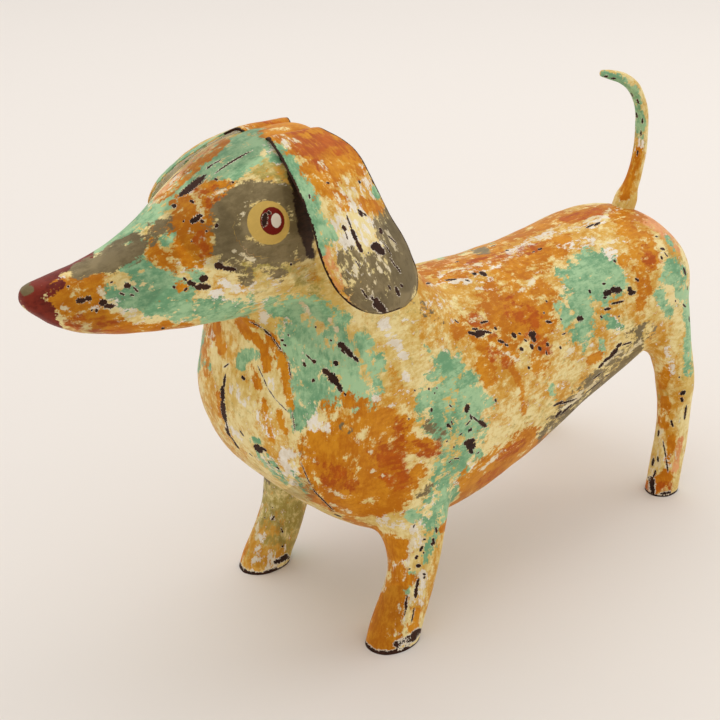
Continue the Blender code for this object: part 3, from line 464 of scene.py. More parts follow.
def strokesOn(tree, paint, rng=None):
    # every stroke as colour, fill, radius and points in metres, and the way that the brush pressed. With random draws
    # there are twins too, for the far side that the photograph hides
    found, twins = [], []
    for colour, strokes in paint.items():
        for fill, radius, flat in strokes:
            hits = landingLine(tree, flat)
            size = radius * pixelSize(hits[0])
            found.append((colour, fill, size, hits, np.array(lookAhead)))
            if rng and min(p.y for p in hits) > brush["mirrorFrom"]:
                stray = 0 if min(p.z for p in hits) > brush["steadyFrom"] else brush["wander"]
                shift = Vector((rng.uniform(-stray, stray), 0, rng.uniform(-stray, stray) * brush["wanderUp"]))
                far = [tree.find_nearest(otherSide(p) + shift)[0] for p in hits]
                fill, size = fill + rng.uniform(-.1, .05), size * rng.uniform(.85, 1.15)
                twins.append((colour, fill, size, far, np.array(otherSide(lookAhead))))
    return found, twins


def paintFields(coords, strokes):
    # one number per colour and point: above 0 inside a stroke, below 0 outside, and 1 or -1 a brush edge away
    fields = {colour: np.full(len(coords), brush["unpainted"]) for colour in colours}
    for colour, fill, size, line, way in strokes:
        edge = min(max(size * brush["edge"], brush["crispest"]), brush["softest"])
        depth = (size - toLine(coords, line, way, size * brush["reach"] + brush["slack"])) / edge
        depth = np.maximum(depth, brush["unpainted"])
        fields[colour] = np.maximum(fields[colour], np.minimum(depth, fill + brush["lift"].get(colour, 0)))
    return fields


chipLayers = 8
chipRoom = {
    "margin": 2.1 * mm, "depth": 7 * mm, "none": (0.0, 0.0, -60.0), "leastSeen": 0.5,
    "twinShare": 0.8, "strayAlong": 6, "strayUp": 4, "faceAway": -0.1,  # the twins on the far side
}


def chipsOn(tree, marks, rng=None):
    # every chip as both ends, normal and half width, and with random draws also its twin where that faces away
    found = []
    along, up = chipRoom["strayAlong"], chipRoom["strayUp"]
    for u1, v1, u2, v2, width in marks:
        (a, na), (b, nb) = landing(tree, u1, v1), landing(tree, u2, v2)
        normal = (na + nb).normalized()
        side = normal.cross(b - a).normalized()
        seen = (side - lookAhead * side.dot(lookAhead)).length
        half = width * pixelSize(a) / 2 / max(seen, chipRoom["leastSeen"])
        found.append((a, b, normal, half))
        if rng and min(a.y, b.y) > brush["mirrorFrom"] and rng.random() < chipRoom["twinShare"]:
            shift = Vector((rng.uniform(-along, along) * mm, 0, rng.uniform(-up, up) * mm))
            spot, normal, _, _ = tree.find_nearest(otherSide(a) + shift)
            run = otherSide(b - a) * rng.uniform(.7, 1.2)
            run -= normal * run.dot(normal)
            if normal.dot((lookFrom - spot).normalized()) < chipRoom["faceAway"]:
                found.append((spot, spot + run, normal, half * rng.uniform(.8, 1.15)))
    return found


def layChips(mesh, coords, normals, edges, chips):
    # each point near a chip learns where it is in the chip's own measure: along it in half lengths, across it in mm
    layers = [np.tile(np.array(chipRoom["none"]), (len(coords), 1)) for _ in range(chipLayers)]
    taken = [np.zeros(len(coords), dtype=bool) for _ in range(chipLayers)]
    a, b = edges.T
    left = 0
    for start, end, normal, half in sorted(chips, key=lambda chip: -(chip[1] - chip[0]).length * chip[3]):
        middle = np.array((start + end) / 2)
        run = end - start
        reach = max(run.length / 2, half)
        way = run.normalized() if run.length > 1e-6 else normal.orthogonal().normalized()
        side = normal.cross(way).normalized()
        way = side.cross(normal)
        gap = coords - middle
        along, across, deep = (gap @ np.array(axis) for axis in (way, side, normal))
        near = (np.abs(along) < reach * 1.25 + chipRoom["margin"]) & (np.abs(across) < half * 1.5 + chipRoom["margin"])
        near &= (np.abs(deep) < chipRoom["depth"]) & (normals @ np.array(normal) > 0.1)
        wide = near.copy()  # and the points next to them, so that no edge runs between two chips of a layer
        wide[b[near[a]]] = True
        wide[a[near[b]]] = True
        for k in range(chipLayers):
            if not (taken[k] & wide).any():
                halves = np.full(near.sum(), half / mm)
                layers[k][near] = np.stack([along[near] / reach, across[near] / mm, halves], axis=1)
                taken[k] |= wide
                break
        else:
            left += 1
    for k, layer in enumerate(layers):
        putField(mesh, f"chips{k}", layer)
    print("chips laid:", len(chips) - left, "no room for:", left)


def spreadFields(mesh, fields, rim):
    # the fields travel three to an attribute
    names = colours + ["rim"] * (1 + (-len(colours) - 1) % 3)
    fields = dict(fields, rim=rim)
    for k in range(0, len(names), 3):
        putField(mesh, f"paint{k // 3}", np.stack([fields[n] for n in names[k:k + 3]], axis=1))


# shader groups
numberSocket, vectorSocket, vectorMath = "NodeSocketFloat", "NodeSocketVector", "ShaderNodeVectorMath"


def feed(tree, socket, value):
    # a socket takes a plain value, or what another node gives
    if isinstance(value, (int, float, tuple)):
        socket.default_value = value
    else:
        tree.links.new(value, socket)


def mathNode(tree, what, *values, kind="ShaderNodeMath"):
    node = tree.nodes.new(kind)
    node.operation = what
    for socket, value in zip(node.inputs, values):
        feed(tree, socket, value)
    return node.outputs[0]


def plus(tree, first, second, share=None):
    # the first and the second, or only a share of the second
    if share is not None:
        second = mathNode(tree, "MULTIPLY", second, share)
    return mathNode(tree, "ADD", first, second)


def most(tree, values):
    best = 0.0
    for value in values:
        best = mathNode(tree, "MAXIMUM", best, value)
    return best


def step(tree, value, low, high):
    # 0 up to low, 1 from high on, and soft between them
    node = tree.nodes.new("ShaderNodeMapRange")
    node.interpolation_type = "SMOOTHSTEP"
    for name, given in (("Value", value), ("From Min", low), ("From Max", high)):
        feed(tree, node.inputs[name], given)
    return node.outputs["Result"]


def mixColour(tree, share, under, over, blend="MIX"):
    node = tree.nodes.new("ShaderNodeMix")
    node.data_type = "RGBA"
    node.blend_type = blend
    for name, value in (("Factor_Float", share), ("A_Color", under), ("B_Color", over)):
        feed(tree, next(s for s in node.inputs if s.identifier == name), value)
    return next(s for s in node.outputs if s.identifier == "Result_Color")


def noiseNode(tree, vector, scale, detail, rough):
    node = tree.nodes.new("ShaderNodeTexNoise")
    for name, value in (("Vector", vector), ("Scale", scale), ("Detail", detail), ("Roughness", rough)):
        feed(tree, node.inputs[name], value)
    return node


def splitNode(tree, vector):
    node = tree.nodes.new("ShaderNodeSeparateXYZ")
    feed(tree, node.inputs[0], vector)
    return node.outputs


def newGroup(name, inputs, outputs, kind):
    # an input that starts from a number is a number, and the others are vectors
    group = bpy.data.node_groups.new(name, "ShaderNodeTree")
    for title, value in inputs.items():
        socketType = vectorSocket if value is None else numberSocket
        socket = group.interface.new_socket(title, in_out="INPUT", socket_type=socketType)
        if value is not None:
            socket.default_value = value
    for title in outputs:
        group.interface.new_socket(title, in_out="OUTPUT", socket_type=kind)
    return group, group.nodes.new("NodeGroupInput").outputs, group.nodes.new("NodeGroupOutput").inputs


def brushGrainGroup():
    # streaks along the brush, blotches, specks and slow clouds, three of each, all centred on 0
    inputs = {"Along": None, "Up": None, "Upright": 0.0, "Place": None, "Streaks": 700.0, "Blotches": 150.0}
    group, given, out = newGroup("brushGrain", inputs, ("Streak", "Blotch", "Speck", "Cloud"), vectorSocket)

    def grainFrom(source, scale, detail, rough, offset):
        spot = mathNode(group, "ADD", given[source], offset, kind=vectorMath)
        return noiseNode(group, spot, scale, detail, rough).outputs["Color"]

    for title, source, gain, *look in (
        ("Streak", "Along", 7.5, given["Streaks"], 4.0, 0.72, (3.1, 1.7, 0.4)),
        ("Blotch", "Place", 8.5, given["Blotches"], 5.0, 0.76, (0.7, 5.3, 2.9)),
        ("Speck", "Place", 3.6, 1500.0, 3.0, 0.6, (8.2, 0.9, 4.4)),
        ("Cloud", "Place", 4.0, 42.0, 4.0, 0.55, (1.3, 2.2, 6.1)),
    ):
        grain = grainFrom(source, *look)
        if title == "Streak":
            grain = mixColour(group, given["Upright"], grain, grainFrom("Up", *look))
        feed(group, out[title], mathNode(group, "MULTIPLY_ADD", grain, (gain,) * 3, (-gain / 2,) * 3, kind=vectorMath))
    return group


def dryBrushGroup():
    # turns a paint field into a torn brush mark
    inputs = {"Field": 0.0, "Streak": 0.0, "Blotch": 0.0, "Streaky": 0.35, "Patchy": 0.45, "Least": -0.9, "Soft": 0.1}
    group, given, out = newGroup("dryBrush", inputs, ("Mask",), numberSocket)
    field = mathNode(group, "MAXIMUM", given["Field"], given["Least"])
    field = plus(group, field, given["Streak"], given["Streaky"])
    field = plus(group, field, given["Blotch"], given["Patchy"])
    low = mathNode(group, "MULTIPLY", given["Soft"], -1.0)
    feed(group, out["Mask"], step(group, field, low, given["Soft"]))
    return group


def chipGroup():
    # one layer of chips: the torn bare core and the primer that shows round it
    group, given, out = newGroup("chip", {"Chip": None, "Tear": None, "Primer": 0.3}, ("Core", "Edge"), numberSocket)
    place, tear = splitNode(group, given["Chip"]), splitNode(group, given["Tear"])
    half = mathNode(group, "MAXIMUM", place[2], 0.02)
    across = mathNode(group, "DIVIDE", mathNode(group, "ABSOLUTE", plus(group, place[1], tear[0], 0.28)), half)
    along = mathNode(group, "POWER", mathNode(group, "ABSOLUTE", place[0]), 3.5)
    far = plus(group, plus(group, along, across), tear[1], 0.7)
    over = mathNode(group, "MULTIPLY", mathNode(group, "SUBTRACT", 1.25, far), half)  # mm inside the torn edge
    wide = plus(group, over, plus(group, 0.45, tear[2], 1.6), given["Primer"])
    there = mathNode(group, "GREATER_THAN", place[2], 0.01)
    for title, inside, low, high in (("Core", over, -0.03, 0.09), ("Edge", wide, -0.02, 0.1)):
        feed(group, out[title], mathNode(group, "MULTIPLY", step(group, inside, low, high), there))
    return group


def fleckGroup():
    # small stray chips that gather where the field says
    inputs = {"Place": None, "Field": 0.0, "Scale": 420.0, "Rare": 0.30}
    group, given, out = newGroup("flecks", inputs, ("Core", "Edge"), numberSocket)
    spots = noiseNode(group, given["Place"], given["Scale"], 3.0, 0.55).outputs[0]
    gather = mathNode(group, "MAXIMUM", given["Field"], -1.0)
    value = plus(group, mathNode(group, "SUBTRACT", spots, 0.5), gather, 0.06)
    value = mathNode(group, "SUBTRACT", value, given["Rare"])
    for title, low, high in (("Core", -0.004, 0.008), ("Edge", -0.03, -0.01)):
        feed(group, out[title], step(group, value, low, high))
    return group


brushGrain, dryBrush, chip, flecks = brushGrainGroup(), dryBrushGroup(), chipGroup(), fleckGroup()


def put(tree, group, **values):
    node = tree.nodes.new("ShaderNodeGroup")
    node.node_tree = group
    for name, value in values.items():
        feed(tree, node.inputs[name], value)
    return node.outputs


def srgb(r, g, b):
    return tuple(((c / 255) / 12.92 if c <= 10 else ((c / 255 + 0.055) / 1.055) ** 2.4) for c in (r, g, b)) + (1.0,)


def dimmed(colour, share):
    return tuple(c * share for c in colour[:3]) + (1.0,)


# every colour as a light and a dark tone, and how its brush marks tear: streaky, patchy, least, soft
enamel = {
    "cream": (srgb(242, 224, 162), srgb(216, 182, 96)),
    "straw": (srgb(196, 182, 106), srgb(168, 148, 72), .5, .7, -1.0, .7),
    "ochre": (srgb(222, 172, 76), srgb(204, 142, 38), .6, .7, -.85, .7),
    "peach": (srgb(234, 168, 112), srgb(216, 138, 80), .5, .5, -1.6, .5),
    "white": (srgb(246, 239, 224), srgb(226, 214, 190), .85, .7, -1.2, .25),
    "mint": (srgb(170, 206, 158), srgb(112, 162, 120), .52, .62, -1.5, .2),
    "orange": (srgb(216, 144, 26), srgb(190, 110, 0), .45, .6, -1.3, .25),
    "deep": (srgb(192, 94, 2), srgb(172, 78, 1), .6, .6, -1.6, .6),
    "maroon": (srgb(128, 44, 28), srgb(100, 28, 18), .3, .35, -1.8, .12),
    "taupe": (srgb(142, 126, 90), srgb(118, 103, 70), .5, .42, -1.6, .22),
    "scratch": (srgb(240, 228, 196), srgb(222, 204, 158), .5, .5, -1.8, .25),
    # a dark brown for the painted shadow beside the ear and for the seam lines
    "shadowAndSeam": (srgb(66, 44, 30), srgb(40, 24, 14), .2, .25, -1.8, .3),
    "bare": (srgb(62, 34, 20), srgb(38, 17, 8)),
    "primer": (srgb(230, 220, 200), srgb(212, 196, 172)),
}
coat = {
    "cloudy": ("straw", "ochre", "white"), "thick": ("white", "mint", "orange", "taupe"), "thickness": 0.22,
    # the dark tint that the painted shade and the darker patches multiply in
    "shadeAndDarkenMix": (0.1, 0.09, 0.05, 1.0), "shine": 0.14, "rough": 0.46, "roughStreak": 0.04, "roughBare": 0.12,
    "bump": 0.6, "bumpHeight": 0.16 * mm, "streakHeight": 0.1, "speckHeight": 0.06, "bareDepth": 0.8,
}
# each part of the eye: its middle and half sizes in millimetres as the photograph sees it, and its paint
eyePaint = (
    (0, 0, 8.3, 8.7, srgb(214, 178, 92)),
    (1.5, .7, 4.75, 5.6, srgb(116, 20, 8)),
    # the last is a white highlight painted on the pupil
    (3.0, .9, 1.95, 2.9, srgb(232, 220, 200)),
)


def enamelMaterial(name, streaks, blotches, rimWidth, rimPrimer, eyes):
    material = bpy.data.materials.new(name)
    material.use_nodes = True
    tree = material.node_tree
    shader = tree.nodes["Principled BSDF"].inputs

    def read(title):
        node = tree.nodes.new("ShaderNodeAttribute")
        node.attribute_name = title
        return node.outputs["Vector"]

    def shading(slow, patchy, streaky):
        fine = plus(tree, mathNode(tree, "MULTIPLY", patchy, 0.4), streaky, 0.5)
        return step(tree, plus(tree, slow, fine), -0.8, 0.8)

    def tone(title, share):
        light, dark = enamel[title][:2]
        return mixColour(tree, share, light, dark)

    along = read("brushAlong")
    up = read("brushUp") if eyes else along
    place = tree.nodes.new("ShaderNodeTexCoord").outputs["Object"]
    eyeAt = splitNode(tree, read("eyeAt")) if eyes else (0.0, 0.0, 0.0)
    grain = put(tree, brushGrain, Along=along, Up=up, Upright=eyeAt[2], Place=place, Streaks=streaks, Blotches=blotches)
    streak, blotch, speck, cloud = (splitNode(tree, grain[n]) for n in ("Streak", "Blotch", "Speck", "Cloud"))
    names = colours + ["rim"]
    fields = {}
    for k in range(0, len(names), 3):  # as in spreadFields
        fields.update(zip(names[k:k + 3], splitNode(tree, read(f"paint{k // 3}"))))

    toneA, toneB = shading(cloud[0], blotch[1], streak[2]), shading(cloud[1], blotch[0], streak[0])
    colour = tone("cream", toneA)
    raised = 0.0
    for i, title in enumerate(brushed):
        streaky, patchy, least, soft = enamel[title][2:]
        field = fields[title]
        if title in coat["cloudy"]:
            field = plus(tree, field, cloud[(i + 1) % 3], 0.5)
        mask = put(tree, dryBrush, Field=field, Streak=streak[i % 3], Blotch=blotch[(i + i // 3) % 3],
                   Streaky=streaky, Patchy=patchy, Least=least, Soft=soft)["Mask"]
        colour = mixColour(tree, mask, colour, tone(title, toneA if i % 2 else toneB))
        if title in coat["thick"]:
            raised = plus(tree, raised, mask, coat["thickness"])

    if eyes:
        wobble = mathNode(tree, "MULTIPLY", speck[1], 0.12)
        # the yellow disc, the red pupil, and the highlight painted on the pupil
        for x, y, halfWide, halfHigh, paint in eyePaint:
            squares = []
            for spot, middle, half in ((eyeAt[0], x, halfWide), (eyeAt[1], y, halfHigh)):
                gap = mathNode(tree, "DIVIDE", mathNode(tree, "SUBTRACT", spot, middle), half)
                squares.append(mathNode(tree, "MULTIPLY", gap, gap))
            far = mathNode(tree, "SQRT", plus(tree, *squares))
            inside = plus(tree, wobble, mathNode(tree, "SUBTRACT", 1.0, far), halfWide)
            shade = mixColour(tree, mathNode(tree, "MULTIPLY", toneA, 0.25), paint, dimmed(paint, 0.6))
            colour = mixColour(tree, step(tree, inside, -0.08, 0.12), colour, shade)

    # painted shade and the darker patches multiply the colour towards a dark brown
    shadeAndDarkenMix = mathNode(tree, "MULTIPLY", mathNode(tree, "MAXIMUM", fields["shadeAndDarken"], 0.0), plus(tree, 1.0, cloud[2], 0.5))
    colour = mixColour(tree, shadeAndDarkenMix, colour, coat["shadeAndDarkenMix"], "MULTIPLY")

    # chips, small flecks, the worn rims and the bare patches, with primer round the metal
    holes = [put(tree, chip, Chip=read(f"chips{k}"), Tear=grain["Speck"]) for k in range(chipLayers)]
    holes.append(put(tree, flecks, Place=place, Field=fields["flecks"]))
    ragged = plus(tree, speck[0], blotch[2], 0.6)
    worn = plus(tree, mathNode(tree, "SUBTRACT", rimWidth, fields["rim"]), ragged, rimWidth * 0.5)
    torn = plus(tree, plus(tree, fields["bare"], blotch[0], 0.35), speck[2], 0.3)
    rimEdge = mathNode(tree, "MULTIPLY", step(tree, worn, -0.25, -0.1), rimPrimer)
    core = most(tree, [h["Core"] for h in holes] + [step(tree, worn, -0.05, 0.1), step(tree, torn, -0.03, 0.05)])
    edge = most(tree, [h["Edge"] for h in holes] + [rimEdge, step(tree, torn, -0.3, -0.2)])
    colour = mixColour(tree, edge, colour, tone("primer", toneB))
    colour = mixColour(tree, core, colour, tone("bare", toneA))
    feed(tree, shader["Base Color"], colour)
    feed(tree, shader["Specular IOR Level"], coat["shine"])

    rough = plus(tree, coat["rough"], streak[1], coat["roughStreak"])
    feed(tree, shader["Roughness"], plus(tree, rough, core, coat["roughBare"]))
    height = plus(tree, raised, streak[0], coat["streakHeight"])
    height = plus(tree, height, speck[0], coat["speckHeight"])
    height = mathNode(tree, "SUBTRACT", height, mathNode(tree, "MULTIPLY", core, coat["bareDepth"]))
    bump = tree.nodes.new("ShaderNodeBump")
    for title, value in (("Strength", coat["bump"]), ("Distance", coat["bumpHeight"]), ("Height", height)):
        feed(tree, bump.inputs[title], value)
    feed(tree, shader["Normal"], bump.outputs["Normal"])
    return material


# the body
body = {
    "voxel": 1.3 * mm, "smoothRounds": 110, "push": 0.5, "pull": -0.53,
    "dents": [(24 * mm, 0.5 * mm), (10 * mm, 0.16 * mm)],  # how wide and how deep
    # the soles are drawn down before the smoothing and cut flat after it: how far, and the lean of fore and hind legs
    "soleAt": 0.01 * mm, "below": 8 * mm, "lean": (0.29, 0.16), "flatten": 0.15 * mm, "topGap": 0.1 * mm,
    "eye": (268.5, 222.5), "eyeDome": 0.9 * mm, "eyeWide": 8.8 * mm, "eyeReach": 15 * mm, "noEye": (60.0, 60.0, 0.0),
    # where the brush went down instead of along: below the first height, in front of the x, and below the last height
    "stretch": 2.7, "legs": (0.072, 0.02), "chest": (0.045, 0.03), "throat": (0.178, 0.012),
    "unseen": (8, 1.6, 3), "sharp": 55, "seed": 11,
}
# swells of the beaten sheet: pixel, rise and radius
swells = [((301, 132), 3.6 * mm, 15 * mm), ((688, 388), 1.0 * mm, 9 * mm)]
# creased edges of the sheets, alike on both sides: how far the crease stands out, how wide it swells, and its pixels
creases = {
    "jaw": (.6, 4, (30, 305, 50, 320, 76, 331, 104, 336, 138, 334, 160, 329, 181, 324, 200, 321, 225, 319, 246, 319)),
    "chestEdge": (1.3, 2.4, (246, 320, 262, 328, 272, 337, 282, 351, 288, 361, 291, 379, 292, 412, 295, 431, 301, 463,
                             311, 486, 333, 510)),
    "bellyEdge": (.5, 5, (452, 500, 470, 478, 495, 458, 520, 445, 548, 428, 572, 402, 600, 371, 620, 348, 645, 338)),
    "chestGroove": (-1.0, 2.4, (254, 318, 270, 326, 281, 335, 291, 349, 297, 361, 299, 379, 300, 412, 303, 431,
                                309, 463, 319, 484)),
    "foreleg": (.3, 2.5, (443, 525, 438, 560, 430, 595, 422, 625)),
    "hindFoot": (.5, 2.5, (663, 440, 657, 465, 652, 485, 651, 497)),
}


def fineBody():
    # the solid with points all over, its edges rounded, and its soles drawn below the floor
    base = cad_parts["body"].data.copy()
    coords, _, _ = meshArrays(base)
    sole = coords[:, 2] < body["soleAt"]
    lean = np.where(coords[:, 0] > 0, *body["lean"])
    drop = np.full(sole.sum(), -body["below"])
    coords[sole] += np.stack([lean[sole] * body["below"], np.zeros(sole.sum()), drop], axis=1)
    putCoords(base, coords)
    work = bpy.data.objects.new("work", base)
    bpy.context.scene.collection.objects.link(work)
    grid = work.modifiers.new("grid", "REMESH")
    grid.mode = "VOXEL"
    grid.voxel_size = body["voxel"]
    bpy.context.view_layer.update()
    mesh = bpy.data.meshes.new_from_object(work.evaluated_get(bpy.context.evaluated_depsgraph_get()))
    bpy.data.objects.remove(work, do_unlink=True)
    coords, _, edges = meshArrays(mesh)
    putCoords(mesh, relax(coords, edges, body["smoothRounds"], body["push"], body["pull"]))
    return mesh


def shapeBody(mesh):
    # creases, dents, domed eyes and swells, and then the soles are cut flat at the floor
    coords, normals, _ = meshArrays(mesh)
    tree = treeOf(coords, mesh)
    push = np.zeros(len(coords))
    for rise, wide, flat in creases.values():
        line = landingLine(tree, flat)
        for one in (line, [tree.find_nearest(otherSide(p))[0] for p in line]):
            far = toLine(coords, one) / mm
            push += rise * mm * np.exp(-(np.sqrt(far ** 2 + 1.0) - 1.0) / wide)
    for size, depth in body["dents"]:
        wave = np.array([noise.noise(Vector(c) / size) for c in coords])
        push += -depth * (0.5 - wave)
    middle, _ = landing(tree, *body["eye"])
    for eye in (middle, otherSide(middle)):
        far = np.linalg.norm(coords - np.array(eye), axis=1)
        push += body["eyeDome"] * np.clip(1 - (far / body["eyeWide"]) ** 2, 0, 1) ** 0.8
    for pixel, rise, radius in swells:
        far = np.linalg.norm(coords - np.array(landing(tree, *pixel)[0]), axis=1)
        push += rise * np.exp(-(far / radius) ** 2 * 1.5)
    coords = coords + normals * push[:, None]
    coords[:, 2] = np.minimum(coords[:, 2], cadBox[1].z - body["topGap"])
    coords[np.abs(coords[:, 2]) < body["flatten"], 2] = 0
    putCoords(mesh, coords)
    shell = bmesh.new()
    shell.from_mesh(mesh)
    everything = shell.verts[:] + shell.edges[:] + shell.faces[:]
    bmesh.ops.bisect_plane(shell, geom=everything, dist=1e-6, plane_co=(0, 0, 0), plane_no=(0, 0, 1), clear_inner=True)
    rims = [e for e in shell.edges if e.is_boundary]
    made = bmesh.ops.holes_fill(shell, edges=rims, sides=0)["faces"]
    bmesh.ops.triangulate(shell, faces=made)
    closeShell(shell, mesh)
    return middle


def ramp(values, middle, width):
    # 0 up to the middle and 1 a width further on
    return np.clip((values - middle) / width, 0, 1)


def dressBody():
    mesh = fineBody()
    print("body remeshed:", len(mesh.polygons), "faces")
    eye = shapeBody(mesh)
    mesh.name = "paintedBody"
    coords, normals, edges = meshArrays(mesh)
    tree = treeOf(coords, mesh)
    rng = random.Random(body["seed"])
    toCamera = np.array(lookFrom) - coords
    facing = (normals * toCamera).sum(axis=1) / np.linalg.norm(toCamera, axis=1)
    own, twins = strokesOn(tree, bodyPaint, rng)
    fields = paintFields(coords, own)
    gain, start, full = body["unseen"]
    for strokes in (twins, hiddenStrokes(coords, facing)):
        for colour, field in paintFields(coords, strokes).items():  # only where the photograph doesn't look
            fields[colour] = np.maximum(fields[colour], field - np.clip(facing * gain + start, 0, full))
    spreadFields(mesh, fields, np.clip(coords[:, 2] / mm, 0, 20))
    layChips(mesh, coords, normals, edges, chipsOn(tree, bodyChips, rng))
    # the brush goes along the back and the snout, and down the legs, the chest and the neck
    (legTop, legFade), (chestAt, chestFade), (throat, throatFade) = body["legs"], body["chest"], body["throat"]
    leg = np.clip((legTop - coords[:, 2]) / legFade, 0, 1)
    chest = ramp(coords[:, 0], chestAt, chestFade) * np.clip((throat - coords[:, 2]) / throatFade, 0, 1)
    putField(mesh, "brushAlong", coords * np.array((1 / body["stretch"], 1, 1)))
    putField(mesh, "brushUp", coords * np.array((1, 1, 1 / body["stretch"])))
    at = np.tile(np.array(body["noEye"]), (len(coords), 1))
    at[:, 2] = np.maximum(leg, chest)
    for side in (1, -1):
        gap = coords * np.array((1, side, 1)) - np.array(eye)
        near = (np.linalg.norm(gap, axis=1) < body["eyeReach"]) & (coords[:, 1] * side > 0)
        for k, way in enumerate((lookRight, lookUp)):
            at[near, k] = gap[near] @ np.array(way) / mm
    putField(mesh, "eyeAt", at)
    mesh.shade_smooth()
    mesh.set_sharp_from_angle(angle=math.radians(body["sharp"]))
    newPiece("bodyShell", mesh, enamelMaterial("bodyEnamel", 430.0, 130.0, 1.1, 1.0, True), "body")


hidden = {
    "count": 125, "seed": 5, "radius": (5, 14), "length": (8, 34), "fill": (-.1, .45),
    "facing": -0.25, "small": ("white", "deep"),
    "colours": ["mint", "orange", "orange", "ochre", "white", "taupe", "straw", "deep", "flecks", "mint"],
}


def hiddenStrokes(coords, facing):
    # the photograph doesn't show the underside and the far side, which get the same kinds of patch
    away = np.nonzero(facing < hidden["facing"])[0]
    rng = random.Random(hidden["seed"])
    strokes = []
    for _ in range(hidden["count"]):
        spot = coords[away[rng.randrange(len(away))]]
        run = np.array((rng.uniform(-1, 1), 0, rng.uniform(-.4, .4))) * rng.uniform(*hidden["length"]) * mm
        colour = rng.choice(hidden["colours"])
        size = rng.uniform(*hidden["radius"]) * mm * (0.5 if colour in hidden["small"] else 1)
        strokes.append((colour, rng.uniform(*hidden["fill"]), size, [spot, spot + run], np.array((0, 1, 0))))
    return strokes


# the ears
ear = {
    # front edge x, y, z, rear edge x, y, z and bulge in millimetres, from the root to the tip
    "rows": [
        (85, 4, 244, 62, 4, 243, .5), (88, 9, 249, 61, 9, 248, 1), (89.5, 16, 246.5, 58.5, 15, 246.5, 1),
        (91.5, 25, 241, 57, 24, 244, 1.5), (93.5, 33.5, 235, 58, 33, 240, 2.5), (96, 42, 228.5, 59.5, 40, 235, 4),
        (98.5, 49.5, 221.5, 60.5, 46.5, 228.5, 5.5), (100.5, 55, 214.5, 60, 52, 221, 6.5),
        (100.5, 59.5, 207.5, 56.5, 56, 212.5, 6.5), (98, 62, 201, 53.5, 58.5, 204, 5.5),
        (92, 63.5, 194, 51.5, 60.5, 195.5, 4), (84, 63.5, 188.5, 53, 62, 187.5, 2.5),
        (75, 63.5, 184.5, 60, 62.5, 183.5, 1),
    ],
    "steps": 9, "columns": 46, "thick": 1.0 * mm, "ridge": 0.7, "slopeFrom": 215, "slopeShare": 0.5, "boxGap": 0.1 * mm,
    "fold": (1.3 * mm, 0.27, 0.1),  # beside the front edge: how far it stands out, and its place and width across
    "foldFade": (14, 25, 12, 20),  # rows without it and rows of its fading, at the root and then at the tip
    "waves": ((13 * mm, 1), (6 * mm, 0.5)), "waveHeight": 0.35 * mm,
    "rootRows": 4, "rearKept": 0.3, "frontKept": (20, 3),  # the worn rim: rows without it, and mm that kept paint
    "stretch": 2.7, "paleFrom": 22 * mm, "farShift": 4, "farFill": 0.1, "farOffset": 0.3, "farSeed": 34, "sharp": 50,
}
